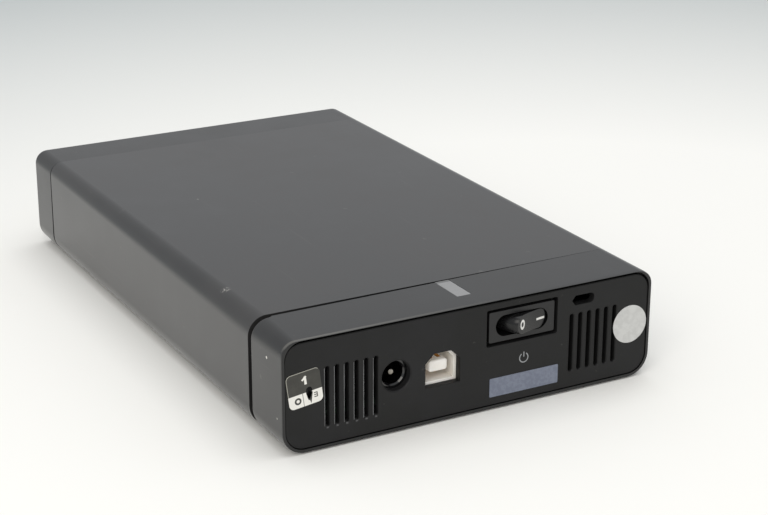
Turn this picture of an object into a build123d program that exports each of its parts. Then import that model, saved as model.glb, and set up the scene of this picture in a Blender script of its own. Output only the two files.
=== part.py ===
from build123d import *
import math
import os

# Desktop hard-disk enclosure, in millimetres. The connector panel faces -Y, +Z is up, and the
# origin is the centre of the footprint on the surface that the rubber feet stand on.

# ---- hard disk drive, whose size sets the case's
platter_diameter = 95.0
disc_well_clearance = 0.8
drive_wall = 2.5
drive_rear_bay = 52.0
drive_height = 26.1
tray_thickness = 0.8
tray_rib = 0.3
drive_width = platter_diameter + 2 * (disc_well_clearance + drive_wall)
drive_length = platter_diameter + drive_rear_bay

# ---- case
side_room = 7.2
front_room = 5.6
top_room = 0.6
connector_bay = 37.4
corner_radius = 6.6
side_wall = 2.2
flat_wall = 2.0
end_wall = 2.2
foot_stand = 0.5
rear_cap_depth = 19.8
front_cap_depth = 15.5
seam_gap = 0.45
front_edge_radius = 1.2
rim_bevel = 0.5
lip_length = 5.5
lip_root = 4.0
lip_thickness = 1.4
lip_clearance = 0.15
lip_reach = 5.2
catch_height = 0.5
catch_length = 9.0
catch_depth = 1.4
catch_clearance = 0.1
catch_pitch = 12.0

case_width = drive_width + 2 * side_room
case_length = connector_bay + drive_length + front_room
case_height = drive_height + tray_thickness + tray_rib + 2 * flat_wall + top_room
rear_y = -case_length / 2
front_y = case_length / 2
rear_seam_y = rear_y + rear_cap_depth
front_seam_y = front_y - front_cap_depth
sleeve_rear_y = rear_seam_y + seam_gap
sleeve_front_y = front_seam_y - seam_gap
base_z = foot_stand
top_z = foot_stand + case_height
mid_z = foot_stand + case_height / 2
floor_z = base_z + flat_wall
ceiling_z = top_z - flat_wall
inner_x = case_width / 2 - side_wall
lip_inner_x = case_width / 2 - lip_reach

# ---- feet
foot_diameter = 10.0
foot_recess = 0.8
foot_clearance = 0.1
foot_edge = 0.25
foot_side_inset = 14.0
foot_end_inset = 31.0
foot_x = case_width / 2 - foot_side_inset
foot_y = case_length / 2 - foot_end_inset

# ---- connector panel
panel_rim = 1.1
panel_clearance = 0.25
panel_inset = 0.25
panel_thickness = 2.2
panel_edge = 0.2
panel_face_y = rear_y + panel_inset
panel_back_y = panel_face_y + panel_thickness

vent_pitch = 2.88
vent_width = 1.3
vent_height = 17.2
vent_bevel = 0.25
vent_z = 14.8
vent_screw_gap = 0.95
vent_margin = 1.1
vent_shift = 0.6

screw_side_inset = 7.4
screw_lift = 0.3
screw_shank = 3.0
screw_hole = 3.3
screw_head = 5.6
screw_head_height = 1.2
screw_length = 16.0
socket_diameter = 2.6
socket_floor = 0.4
counterbore = 6.0
counterbore_depth = 1.35
screw_boss = 7.4

lock_hook_gap = 1.0
lock_top_inset = 5.0
lock_width = 7.3
lock_height = 2.8
lock_slant = 1.1
lock_rounding = 0.9
lock_plate_width = 11.0
lock_plate_height = 5.2
lock_plate_thickness = 1.2
lock_plate_overlap = 0.2

# ---- stickers on the panel
film = 0.12
label_corner = 0.3
tag_hole_drop = 0.2
seal_diameter = 11.3
seal_offset = 0.6
label_width = 22.3
label_height = 5.5
label_x = 16.1
label_z = 6.6
tag_size = 9.8
tag_corner = 1.4
tag_offset = 0.8
tag_lift = 1.4
tag_turn = 7.5

# ---- status light
window_width = 4.4
window_length = 12.3
window_x = 0.8
window_clearance = 0.05
window_flange = 0.8
window_flange_thickness = 0.8
stem_width = 2.8
stem_length = 3.4
lamp_setback = 15.6
lamp_size = 2.0
lamp_length = 3.2
lamp_height = 1.6
lamp_corner = 0.2
lamp_gap = 0.3

# ---- bridge board
board_top_z = 9.9
board_thickness = 1.6
board_side_gap = 0.9
board_rear_gap = 0.3
board_reach = 34.0
board_corner = 1.5
board_screw_side_inset = 5.0
board_screw_rear_inset = 11.0
board_screw_front_inset = 3.0
board_screw_mid_inset = 22.0
board_screw_head = 5.2
board_screw_head_height = 1.5
board_screw_shank = 2.8
board_screw_hole = 3.1
board_screw_length = 5.0
board_cross_length = 2.8
board_cross_width = 0.7
board_cross_depth = 0.7
standoff_diameter = 5.0
can_setback = 11.0
can_diameter = 8.0
small_can_diameter = 6.3
can_switch_gap = 0.4
can_pitch = 8.5
can_jack_gap = 7.4
can_height = 11.3
can_groove = 2.4
can_groove_width = 0.7
can_groove_depth = 0.4
inductor_front_inset = 3.0
inductor_left_inset = 7.5
inductor_right_inset = 10.0
inductor_size = 7.4
inductor_height = 4.2
inductor_drum = 6.66
controller_size = 12.0
controller_side_inset = 32.0
controller_front_inset = 7.5
controller_height = 1.4
memory_width = 6.0
memory_length = 5.0
memory_height = 1.2
memory_side_inset = 18.5
memory_front_inset = 11.0
regulator_width = 5.0
regulator_length = 6.2
regulator_height = 1.4
regulator_side_inset = 15.5
regulator_front_inset = 5.0
crystal_width = 4.6
crystal_length = 11.0
crystal_height = 3.4
crystal_corner = 2.2
crystal_x = 4.5
crystal_front_inset = 6.0

# ---- power switch
switch_x = 15.15
switch_top_inset = 8.1
bezel_width = 21.0
bezel_height = 8.9
bezel_gap = 0.9
bezel_inset = 0.3
bezel_corner = 0.5
bezel_skin = 1.2
switch_flange = 0.65
switch_flange_thickness = 1.2
switch_body_width = 20.9
switch_body_height = 8.8
switch_back_wall = 1.4
rocker_slot_length = 16.7
rocker_slot_height = 6.1
rocker_cavity_length = 18.2
rocker_cavity_height = 6.5
rocker_pivot_depth = 7.85
rocker_reach = 9.3
rocker_face_length = 11.7
rocker_face_height = 5.5
rocker_dish = 0.4
rocker_shoulder = 7.9
rocker_shoulder_length = 13.1
rocker_belly = 5.2
rocker_belly_length = 14.4
rocker_skirt = 1.2
rocker_skirt_length = 15.2
rocker_height = 5.7
rocker_wall = 1.2
rocker_tilt = 16.0
trunnion_diameter = 2.4
trunnion_clearance = 0.05
plunger_diameter = 1.8
plunger_clearance = 0.05
plunger_tube = 3.6
plunger_tube_reach = 2.6
plunger_reach = 5.6
plunger_length = 4.4
spring_wire = 0.2
spring_turns = 5
spring_gap = 0.05
contact_gap = 0.12
contact_length = 12.6
contact_width = 3.2
contact_thickness = 0.5
contact_swing = 8.0
contact_button = 2.0
contact_button_height = 0.5
contact_room = 2.15
terminal_pitch = 5.2
terminal_width = 3.2
terminal_thickness = 0.6
terminal_length = 6.5
terminal_clearance = 0.05
hook_thickness = 1.2
hook_width = 5.0
hook_clearance = 0.1
lead_diameter = 1.3
lead_bend = 3.0

switch_z = top_z - switch_top_inset
bezel_face_y = panel_face_y + bezel_inset
flange_front_y = panel_back_y
flange_back_y = flange_front_y + switch_flange_thickness
pivot_y = bezel_face_y + rocker_pivot_depth
seesaw_y = pivot_y + plunger_reach + contact_gap + contact_thickness / 2
switch_floor_y = seesaw_y + contact_thickness / 2 + contact_room
switch_back_y = switch_floor_y + switch_back_wall

# ---- power jack
jack_x = -24.1
jack_axis_height = 6.5
jack_hole = 8.7
jack_hole_bevel = 0.35
jack_width = 9.0
jack_depth = 14.2
jack_roof = 4.9
jack_bore = 6.4
jack_mouth = 7.2
jack_bore_depth = 10.4
jack_pin = 2.0
jack_pin_recess = 0.9
jack_pin_root = 3.2
jack_spring_width = 2.4
jack_spring_thickness = 0.35
jack_spring_side_gap = 0.2
jack_spring_setback = 2.4
jack_spring_bow = 0.75
jack_spring_toe = 0.1
jack_leg_width = 2.0
jack_leg_thickness = 0.5

# ---- data port
port_x = -9.9
port_axis_height = 5.7
port_width = 9.2
port_height = 8.1
port_chamfer = 2.2
port_cutout_margin = 0.75
port_cutout_chamfer = 2.6
port_body_width = 12.0
port_roof = 1.3
port_body_chamfer = 2.6
port_depth = 15.6
port_cavity_depth = 9.4
tongue_width = 5.7
tongue_height = 3.3
tongue_recess = 0.35
tongue_edge = 0.5
port_contact_width = 1.1
port_contact_thickness = 0.25
port_contact_pitch = 2.5
port_contact_setback = 2.2
port_shell_thickness = 0.35
port_shell_setback = 0.8
port_shell_gap = 0.05
port_upper_tail = 2.2
port_lower_tail = 0.8

# ---- drive tray
tray_rib_width = 2.0
tray_flange = 12.0
tray_side_gap = 0.1
tray_setback = 7.0
tray_window_width = 60.0
tray_window_length = 34.0
tray_window_corner = 5.0
tray_window_pitch = 47.6
lug_setback = 15.1
lug_width = 7.0
lug_top_z = 21.0
rail_z = 17.0
rail_thickness = 1.6
rail_gap = 0.4
tray_z = floor_z + tray_rib
drive_z = tray_z + tray_thickness

# ---- inside the drive
drive_corner = 1.6
drive_deck = 6.7
cover_thickness = 1.2
gasket_thickness = 0.4
gasket_width = 1.6
gasket_inset = 0.5
gasket_well_gap = 0.3
cover_margin = 0.5
cover_groove_inset = 8.0
cover_groove_width = 3.0
cover_groove_depth = 0.4
cover_screw_hole = 2.4
cover_screw_shank = 2.2
cover_screw_head = 3.6
cover_screw_length = 5.0
cover_screw_height = 0.45
cover_socket_depth = 0.3
cover_screw_side_inset = 0.7
cover_screw_end_inset = 4.5
drive_post = 6.0
mount_hole_z = 6.35
mount_hole_rear = 28.5
mount_hole_span = 101.6
mount_screw = 3.3
mount_hole = 3.5
mount_screw_head = 5.6
mount_screw_head_height = 1.3
mount_screw_reach = 4.5
mount_cross_length = 3.2
mount_cross_width = 0.8
mount_cross_depth = 0.6
mount_boss = 8.0
mount_boss_wall = 4.0
mount_boss_lift = 2.2
platter_bore = 25.0
platter_thickness = 1.27
platter_count = 2
platter_pitch = 5.0
disc_lift = 4.9
drive_front_wall = 1.9
hub_flange = 32.0
hub_flange_thickness = 1.6
hub_clearance = 0.05
clamp_diameter = 31.0
clamp_thickness = 1.4
clamp_screws = 6
clamp_screw_circle = 18.0
clamp_screw_head = 3.0
clamp_screw_height = 0.6
clamp_bevel = 0.5
stator_diameter = 20.0
stator_gap = 0.25
hub_roof = 2.5
stator_core = 11.0
stator_drop = 3.2
stator_teeth = 9
tooth_width = 2.0
tooth_lift = 0.6
tooth_head_width = 4.4
tooth_head_depth = 1.2
tooth_head_inset = 0.3
shaft_diameter = 4.0
shaft_seat = 1.8
shaft_gap = 0.2
swing_side_inset = 27.8
swing_disc_gap = 4.7
ramp_foot = 1.0
bay_tip_room = 5.0
bay_length = 46.0
bay_offset = 10.0
bay_corner = 6.0
breather_x = -30.0
breather_setback = 25.0
breather_diameter = 2.0
swing_post = 7.0
swing_bore_clearance = 0.06
swing_barrel = 13.0
arm_length = 44.0
arm_root_width = 13.0
arm_tip_width = 4.2
arm_thickness = 1.1
head_reach = 51.0
head_size = 1.6
parked_angle = 167.7
coil_outer = 18.8
coil_inner = 9.5
coil_half_angle = 24.0
coil_thickness = 2.2
coil_band = 3.0
yoke_outer = 22.0
yoke_inner = 9.0
yoke_start = -72.0
yoke_end = 12.0
yoke_thickness = 2.0
yoke_post = 1.8
yoke_post_inset = 1.1
magnet_thickness = 1.5
magnet_inner_inset = 2.0
magnet_outer_inset = 2.5
magnet_end_angle = 6.0
yoke_post_angle = 3.0
magnet_air = 0.7
ramp_length = 7.0
ramp_width = 4.0
ramp_gap = 0.3
drive_board_thickness = 1.6
drive_board_length = 96.0
drive_board_lift = 0.4
drive_board_side_gap = 0.4
drive_board_motor_room = 7.0
motor_pocket_room = 5.0
drive_boss_rear_inset = 12.0
drive_boss_front_inset = 6.0
drive_chip_height = 1.0
drive_chip_spots = [  # place across, distance from the drive's rear, and width across
    (-20.0, 27.6, 14.0),
    (8.0, 32.6, 11.0),
    (-32.0, 51.6, 8.0),
    (20.0, 17.6, 6.0),
]
plug_width = 42.0
plug_depth = 8.0
plug_x = 14.0
plug_tongue = 1.0
socket_height = 3.5
socket_slot = 1.6
socket_wall = 1.5
socket_gap = 0.2
socket_slot_reach = 1.0
plug_wall = 0.4
plug_gap = 0.1
plug_key_width = 0.06
plug_key_place = 0.34
plug_tongue_reach = 0.8

screw_x = case_width / 2 - screw_side_inset
screw_z = mid_z + screw_lift
seal_x = screw_x + seal_offset
tag_x = -screw_x - tag_offset
tag_z = screw_z + tag_lift
jack_z = board_top_z + jack_axis_height
port_z = board_top_z + port_axis_height

vent_outer_x = screw_x - screw_boss / 2 - vent_screw_gap
vent_switch_room = vent_outer_x + vent_shift - (switch_x + bezel_width / 2 + bezel_gap)
vent_jack_room = vent_outer_x - vent_shift + jack_x - jack_hole / 2
vent_room = min(vent_switch_room, vent_jack_room) - vent_margin - vent_width
vent_count = int(vent_room / vent_pitch) + 1
vent_x = vent_outer_x - ((vent_count - 1) * vent_pitch + vent_width) / 2
hook_end_x = switch_x + bezel_width / 2 + bezel_gap + switch_flange + hook_clearance + hook_thickness
lock_x = hook_end_x + lock_hook_gap + lock_plate_width / 2
lock_z = top_z - lock_top_inset

lamp_y = rear_y + lamp_setback
tray_rear_y = rear_y + tray_setback
lug_y = rear_y + lug_setback
board_width = 2 * (screw_x - screw_boss / 2 - board_side_gap)
board_side_x = board_width / 2
board_bottom_z = board_top_z - board_thickness
board_rear_y = panel_back_y + board_rear_gap
board_front_y = rear_y + board_reach
board_screw_x = board_side_x - board_screw_side_inset
can_y = rear_y + can_setback
inductor_y = board_front_y - inductor_front_inset

drive_rear_y = rear_y + connector_bay
drive_front_y = drive_rear_y + drive_length
drive_mid_y = (drive_rear_y + drive_front_y) / 2
drive_top_z = drive_z + drive_height
cover_z = drive_top_z - cover_thickness
base_top_z = cover_z - gasket_thickness
deck_z = drive_z + drive_deck
platter_low_z = deck_z + disc_lift
platter_y = drive_front_y - drive_front_wall - disc_well_clearance - platter_diameter / 2
swing_x = drive_width / 2 - swing_side_inset
swing_y = platter_y - platter_diameter / 2 - swing_disc_gap
shaft_foot_z = deck_z - shaft_seat
drive_board_z = drive_z + drive_board_lift
drive_board_top_z = drive_board_z + drive_board_thickness
arm_mid_z = platter_low_z + platter_thickness + (platter_pitch - platter_thickness) / 2


# ---------------------------------------------------------------- helpers
def block(x, y, z):
    """A box given by its two ends along each axis."""
    size = Box(x[1] - x[0], y[1] - y[0], z[1] - z[0])
    return Pos((x[0] + x[1]) / 2, (y[0] + y[1]) / 2, (z[0] + z[1]) / 2) * size


def along_y(sketch, start, end):
    """Extrude a sketch, drawn in X and Z, from one Y to another."""
    return extrude(Plane.XZ.offset(-start) * sketch, amount=start - end)


def along_z(sketch, start, end):
    return extrude(Pos(0, 0, start) * sketch, amount=end - start)


def rod_y(x, z, diameter, start, end):
    return along_y(Pos(x, z) * Circle(diameter / 2), start, end)


def rod_z(x, y, diameter, start, end):
    return along_z(Pos(x, y) * Circle(diameter / 2), start, end)


def case_section(inset_x, inset_z, radius):
    """The rounded section of the case, drawn in from its outside."""
    width = case_width - 2 * inset_x
    height = case_height - 2 * inset_z
    return Pos(0, mid_z) * RectangleRounded(width, height, radius)


inner_radius = corner_radius - flat_wall
cavity_section = case_section(side_wall, flat_wall, inner_radius)
lip_outer = case_section(side_wall + lip_clearance, flat_wall + lip_clearance, inner_radius - lip_clearance)
lip_inner = case_section(
    side_wall + lip_clearance + lip_thickness,
    flat_wall + lip_clearance + lip_thickness,
    inner_radius - lip_clearance - lip_thickness,
)


def lip(seam_y, into):
    """The two side tongues of a cap that slide into the sleeve, with their roots in the cap's wall."""
    root = seam_y - into * lip_root
    tip = seam_y + into * lip_length
    low, high = sorted((root, tip))
    ring = along_y(lip_outer, low, high) - along_y(lip_inner, low, high)
    start, end = sorted((root, seam_y))
    ring += along_y(cavity_section, start, end) - along_y(lip_inner, start, end)
    return ring - block((-lip_inner_x, lip_inner_x), (low, high), (base_z, top_z))


def catch_spots():
    """Where the catches of a lip sit, two on each side."""
    edge_x = inner_x - lip_clearance
    lift = catch_pitch / 2
    return [(side * edge_x, mid_z + up * lift) for side in (-1, 1) for up in (-1, 1)]


def catches(seam_y, into, grow):
    """The ridges on a lip, or with some growth the grooves that they snap into."""
    at_y = seam_y + into * (lip_length - catch_depth)
    ridges = []
    for x, z in catch_spots():
        reach = (lip_clearance + catch_height + grow) * math.copysign(1, x)
        half = catch_depth / 2 + grow
        outline = Polyline((x, at_y - half), (x + reach, at_y), (x, at_y + half), close=True)
        length = catch_length + 2 * grow
        ridges.append(along_z(make_face(outline), z - length / 2, z + length / 2))
    return ridges


# ---------------------------------------------------------------- case
def make_sleeve():
    outer = along_y(case_section(0, 0, corner_radius), sleeve_rear_y, sleeve_front_y)
    body = outer - along_y(cavity_section, sleeve_rear_y, sleeve_front_y)
    rail_start = sleeve_rear_y + lip_length + 1
    rail_end = sleeve_front_y - lip_length - 1
    rail_in = drive_width / 2 + tray_side_gap + tray_thickness + rail_gap
    for side in (-1, 1):
        x = sorted((side * rail_in, side * (inner_x + side_wall / 2)))
        body += block(x, (rail_start, rail_end), (rail_z, rail_z + rail_thickness))
        for offset in (drive_width / 6, drive_width * 5 / 12):
            rib_x = side * offset
            span = (rib_x - tray_rib_width / 2, rib_x + tray_rib_width / 2)
            body += block(span, (rail_start, rail_end), (floor_z - flat_wall / 2, tray_z))
    for x, y in foot_places():
        body -= rod_z(x, y, foot_diameter + 2 * foot_clearance, base_z - 1, base_z + foot_recess)
    for seam_y, into in ((rear_seam_y, 1), (front_seam_y, -1)):
        for groove in catches(seam_y, into, catch_clearance):
            body -= groove
    return body


def foot_places():
    return [(x, y) for x in (-foot_x, foot_x) for y in (-foot_y, foot_y)]


def make_rubber_feet():
    feet = []
    for x, y in foot_places():
        foot = rod_z(x, y, foot_diameter, 0, base_z + foot_recess)
        feet.append(chamfer(foot.edges().sort_by(Axis.Z)[0], foot_edge))
    return feet


def make_rear_cap():
    outer = along_y(case_section(0, 0, corner_radius), rear_y, rear_seam_y)
    outer = chamfer(outer.faces().sort_by(Axis.Y)[0].edges(), rim_bevel)
    body = outer - along_y(cavity_section, rear_y, rear_seam_y)
    pocket = case_section(panel_rim, panel_rim, corner_radius - panel_rim)
    body -= along_y(pocket, rear_y, panel_back_y)
    body += lip(rear_seam_y, 1)
    lug_face = lug_y - tray_thickness / 2
    for side in (-1, 1):
        boss = rod_y(side * screw_x, screw_z, screw_boss, panel_back_y, lug_face)
        wall = sorted((side * screw_x, side * (inner_x + side_wall / 2)))
        web = block(wall, (panel_back_y, lug_face), (screw_z - screw_boss / 4, screw_z + screw_boss / 4))
        body += boss + web
        body -= rod_y(side * screw_x, screw_z, screw_hole, panel_back_y, lug_face)
    for ridge in catches(rear_seam_y, 1, 0):
        body += ridge
    window_half = window_width / 2 + window_clearance
    window_y = rear_seam_y - window_length
    notch_y = (window_y - window_clearance, rear_seam_y)
    return body - block((window_x - window_half, window_x + window_half), notch_y, (ceiling_z, top_z))


def make_front_cap():
    outer = along_y(case_section(0, 0, corner_radius), front_seam_y, front_y)
    outer = fillet(outer.faces().sort_by(Axis.Y)[-1].edges(), front_edge_radius)
    body = outer - along_y(cavity_section, front_seam_y, front_y - end_wall)
    body += lip(front_seam_y, -1)
    for ridge in catches(front_seam_y, -1, 0):
        body += ridge
    return body


def make_light_pipe():
    x = (window_x - window_width / 2, window_x + window_width / 2)
    y = (rear_seam_y - window_length, rear_seam_y - window_clearance)
    plate = block(x, y, (ceiling_z, top_z))
    flange_x = (x[0] - window_flange, x[1] + window_flange)
    flange = block(flange_x, (y[0] - window_flange, y[1]), (ceiling_z - window_flange_thickness, ceiling_z))
    lamp_top_z = board_top_z + lamp_height
    stem = block(
        (window_x - stem_width / 2, window_x + stem_width / 2),
        (lamp_y - stem_length / 2, lamp_y + stem_length / 2),
        (lamp_top_z + lamp_gap, ceiling_z - window_flange_thickness),
    )
    return plate + flange + stem


# ---------------------------------------------------------------- connector panel
def vents():
    """The places of the vent slots, six on each side."""
    first = vent_shift - (vent_count - 1) * vent_pitch / 2
    return [(side * vent_x + first + i * vent_pitch, vent_z) for side in (-1, 1) for i in range(vent_count)]


def upright_slot(width, height):
    return Rot(0, 0, 90) * SlotOverall(height, width)


def port_outline(width, height, cut):
    """A rectangle with its two upper corners cut off."""
    x = width / 2
    z = height / 2
    points = [(-x, -z), (x, -z), (x, z - cut), (x - cut, z), (cut - x, z), (-x, z - cut)]
    return make_face(Polyline(points, close=True))


def lock_outline(grow):
    """The lock slot, pointed at its left end and rounded at its right."""
    x = lock_width / 2 + grow
    z = lock_height / 2 + grow
    points = [(-x, 0), (lock_slant - x, -z), (x, -z), (x, z), (lock_slant - x, z)]
    outline = make_face(Polyline(points, close=True))
    return Pos(lock_x, lock_z) * fillet(outline.vertices().sort_by(Axis.X)[-2:], z * lock_rounding)


def make_port_panel():
    inset = panel_rim + panel_clearance
    body = along_y(case_section(inset, inset, corner_radius - inset), panel_face_y, panel_back_y)
    body = chamfer(body.faces().sort_by(Axis.Y)[0].edges(), panel_edge)
    for x, z in vents():
        slot = Pos(x, z) * upright_slot(vent_width, vent_height)
        body -= along_y(slot, panel_face_y, panel_back_y)
        mouth = Pos(x, z) * upright_slot(vent_width + 2 * vent_bevel, vent_height + 2 * vent_bevel)
        body -= extrude(Plane.XZ.offset(-panel_face_y) * mouth, amount=-vent_bevel, taper=45)
    body -= rod_y(jack_x, jack_z, jack_hole, panel_face_y, panel_back_y)
    mouth = Pos(jack_x, jack_z) * Circle(jack_hole / 2 + jack_hole_bevel)
    body -= extrude(Plane.XZ.offset(-panel_face_y) * mouth, amount=-jack_hole_bevel, taper=45)
    margin = 2 * port_cutout_margin
    cutout = port_outline(port_width + margin, port_height + margin, port_cutout_chamfer)
    body -= along_y(Pos(port_x, port_z) * cutout, panel_face_y, panel_back_y)
    window = RectangleRounded(bezel_width + 2 * bezel_gap, bezel_height + 2 * bezel_gap, bezel_corner)
    body -= along_y(Pos(switch_x, switch_z) * window, panel_face_y, panel_back_y)
    body -= along_y(lock_outline(0), panel_face_y, panel_back_y)
    for side in (-1, 1):
        body -= rod_y(side * screw_x, screw_z, screw_hole, panel_face_y, panel_back_y)
        body -= rod_y(side * screw_x, screw_z, counterbore, panel_face_y, panel_face_y + counterbore_depth)
        body += switch_hook(side)
    return body


def switch_hook(side):
    """A sprung arm that reaches past the switch's flange and holds it against the panel."""
    edge = bezel_width / 2 + bezel_gap + switch_flange
    inner = edge + hook_clearance
    catch_y = flange_back_y + hook_clearance
    outline = [
        (inner, panel_back_y),
        (inner, catch_y),
        (inner - hook_thickness / 2, catch_y),
        (inner, catch_y + hook_thickness),
        (inner + hook_thickness, catch_y + hook_thickness),
        (inner + hook_thickness, panel_back_y),
    ]
    points = [(switch_x + side * x, y) for x, y in outline]
    face = make_face(Polyline(points, close=True))
    return along_z(face, switch_z - hook_width / 2, switch_z + hook_width / 2)


def make_lock_plate():
    x = (lock_x - lock_plate_width / 2, lock_x + lock_plate_width / 2)
    z_top = ceiling_z - lip_clearance
    plate = block(x, (panel_back_y, panel_back_y + lock_plate_thickness), (z_top - lock_plate_height, z_top))
    slot = lock_outline(-lock_plate_overlap)
    return plate - along_y(slot, panel_back_y, panel_back_y + lock_plate_thickness)


def make_panel_screws():
    """Two countersunk-socket screws that clamp the panel and the cap to the tray's lugs."""
    screws = []
    seat = panel_face_y + counterbore_depth
    for side in (-1, 1):
        shank = rod_y(side * screw_x, screw_z, screw_shank, seat, seat + screw_length)
        head_y = seat - screw_head_height
        head = rod_y(side * screw_x, screw_z, screw_head, head_y, seat)
        socket = rod_y(side * screw_x, screw_z, socket_diameter, head_y, seat - socket_floor)
        screws.append(shank + head - socket)
    return screws


def make_seal_sticker():
    return rod_y(seal_x, screw_z, seal_diameter, panel_face_y - film, panel_face_y)


def make_number_sticker():
    tag = Pos(tag_x, tag_z) * Rot(0, 0, tag_turn) * RectangleRounded(tag_size, tag_size, tag_corner)
    sheet = along_y(tag, panel_face_y - film, panel_face_y)
    hole_z = screw_z - tag_hole_drop
    return sheet - rod_y(-screw_x, hole_z, socket_diameter, panel_face_y - film, panel_face_y)


def make_blank_label():
    label = Pos(label_x, label_z) * RectangleRounded(label_width, label_height, label_corner)
    return along_y(label, panel_face_y - film, panel_face_y)


# ---------------------------------------------------------------- power switch
def stadium(length, height):
    return SlotOverall(length, height)


def at_pivot(shape, turn):
    """Carry a piece drawn about its own pivot to its place in the switch, turned about +Z."""
    return Pos(switch_x, pivot_y, switch_z) * Rot(0, 0, turn) * shape


def make_switch_housing():
    bezel = RectangleRounded(bezel_width, bezel_height, bezel_corner)
    flange = Rectangle(
        bezel_width + 2 * (bezel_gap + switch_flange),
        bezel_height + 2 * (bezel_gap + switch_flange / 2),
    )
    place = Pos(switch_x, switch_z)
    body = along_y(place * bezel, bezel_face_y, flange_front_y)
    body += along_y(place * flange, flange_front_y, flange_back_y)
    body += along_y(place * Rectangle(switch_body_width, switch_body_height), flange_back_y, switch_back_y)
    cavity = stadium(rocker_cavity_length, rocker_cavity_height)
    body -= along_y(place * cavity, bezel_face_y + bezel_skin, switch_floor_y)
    mouth = [
        Plane.XZ.offset(-bezel_face_y) * place * stadium(rocker_slot_length, rocker_slot_height),
        Plane.XZ.offset(-bezel_face_y - bezel_skin) * place * cavity,
    ]
    body -= loft(mouth, ruled=True)
    bore = trunnion_diameter + 2 * trunnion_clearance
    body -= rod_z(switch_x, pivot_y, bore, switch_z - switch_body_height, switch_z + switch_body_height)
    for x in terminal_places():
        gap = 2 * terminal_clearance
        slot = Pos(x, switch_z) * Rectangle(terminal_thickness + gap, terminal_width + gap)
        body -= along_y(slot, switch_floor_y, switch_back_y)
    return body


def terminal_places():
    return [switch_x, switch_x - terminal_pitch]


def make_switch_rocker():
    """The rocker, about its pivot: a hollow button whose dished face turns with the trunnions."""
    sections = [
        (rocker_skirt, rocker_skirt_length, rocker_height),
        (rocker_belly, rocker_belly_length, rocker_height),
        (rocker_shoulder, rocker_shoulder_length, rocker_height),
        (rocker_reach, rocker_face_length, rocker_face_height),
    ]
    rings = [Plane.XZ.offset(h) * stadium(length, height) for h, length, height in sections]
    hollow = stadium(rocker_belly_length - 2 * rocker_wall, rocker_height - 2 * rocker_wall)
    body = loft(rings, ruled=True) - along_y(hollow, 2 * rocker_wall - rocker_reach, -rocker_skirt)
    tube = along_y(Circle(plunger_tube / 2), -rocker_reach + rocker_wall, plunger_tube_reach)
    hub = along_z(Circle(plunger_tube / 2), -rocker_height / 2, rocker_height / 2)
    strut = block(
        (-plunger_tube / 2, plunger_tube / 2),
        (-rocker_skirt - rocker_wall, 0),
        (-rocker_height / 2, rocker_height / 2),
    )
    pin = along_z(Circle(trunnion_diameter / 2), -switch_body_height / 2, switch_body_height / 2)
    body += tube + hub + strut + pin
    bore = plunger_diameter / 2 + plunger_clearance
    body -= along_y(Circle(bore), spring_seat_y(), plunger_tube_reach)
    sag = rocker_face_length ** 2 / (8 * rocker_dish)
    dish = along_z(Pos(0, -rocker_reach - sag + rocker_dish) * Circle(sag), -rocker_height, rocker_height)
    return at_pivot(body - dish, rocker_tilt)


def spring_seat_y():
    """The blind end of the plunger's bore, in the rocker's own frame."""
    return -rocker_reach / 2


def plunger_back_y():
    return plunger_reach - plunger_length


def make_switch_plunger():
    shaft = along_y(Circle(plunger_diameter / 2), plunger_back_y(), plunger_reach - plunger_diameter / 2)
    tip = Pos(0, plunger_reach - plunger_diameter / 2, 0) * Sphere(plunger_diameter / 2)
    return at_pivot(shaft + tip, rocker_tilt)


def make_switch_spring():
    """The coil that pushes the plunger out of the rocker."""
    length = plunger_back_y() - spring_seat_y() - spring_wire - 2 * spring_gap
    radius = plunger_diameter / 2 - spring_wire / 2 - spring_gap
    path = Helix(pitch=length / spring_turns, height=length, radius=radius)
    section = Plane(origin=path @ 0, z_dir=path % 0) * RegularPolygon(spring_wire / 2, 4)
    coil = sweep(section, path=path)
    seat_y = spring_seat_y() + spring_wire / 2 + spring_gap
    return at_pivot(Pos(0, seat_y, 0) * Rot(-90, 0, 0) * coil, rocker_tilt)


def make_switch_contact():
    """The rocking contact bar, whose button closes on the outer terminal."""
    half = contact_thickness / 2
    end = contact_length / 2
    edge = contact_width / 2
    bar = block((-end, end), (-half, half), (-edge, edge))
    button = rod_y(-terminal_pitch, 0, contact_button, half, half + contact_button_height)
    return Pos(switch_x, seesaw_y, switch_z) * Rot(0, 0, -contact_swing) * (bar + button)


def make_switch_terminals():
    """The middle terminal with its knife edge, and the outer one that the button meets."""
    blades = []
    tip_y = switch_back_y + terminal_length
    z = (switch_z - terminal_width / 2, switch_z + terminal_width / 2)
    half = terminal_thickness / 2
    knife_y = seesaw_y + contact_thickness / 2 / math.cos(math.radians(contact_swing)) + terminal_clearance
    for x, top_y in zip(terminal_places(), (knife_y, outer_contact_y())):
        blade = block((x - half, x + half), (top_y, tip_y), z)
        eye = lead_diameter + 2 * terminal_clearance
        blade -= rod_x(x, tip_y - terminal_width / 2, switch_z, eye, terminal_thickness)
        blades.append(blade)
    pad_y = outer_contact_y()
    blades[1] += block((blades_pad_x(), switch_x - terminal_pitch + half), (pad_y, pad_y + half * 2), z)
    blades[0] = chamfer_knife(blades[0], knife_y)
    return blades


def blades_pad_x():
    return switch_x - terminal_pitch - contact_button


def chamfer_knife(blade, knife_y):
    """Bring the middle blade to an edge under the contact bar."""
    edges = blade.faces().filter_by(Axis.Y).sort_by(Axis.Y)[0].edges().filter_by(Axis.Z)
    return chamfer(edges, terminal_thickness / 2 - terminal_clearance)


def rod_x(x, y, z, diameter, length):
    return Pos(x, y, z) * Rot(0, 90, 0) * Cylinder(diameter / 2, 2 * length)


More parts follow.
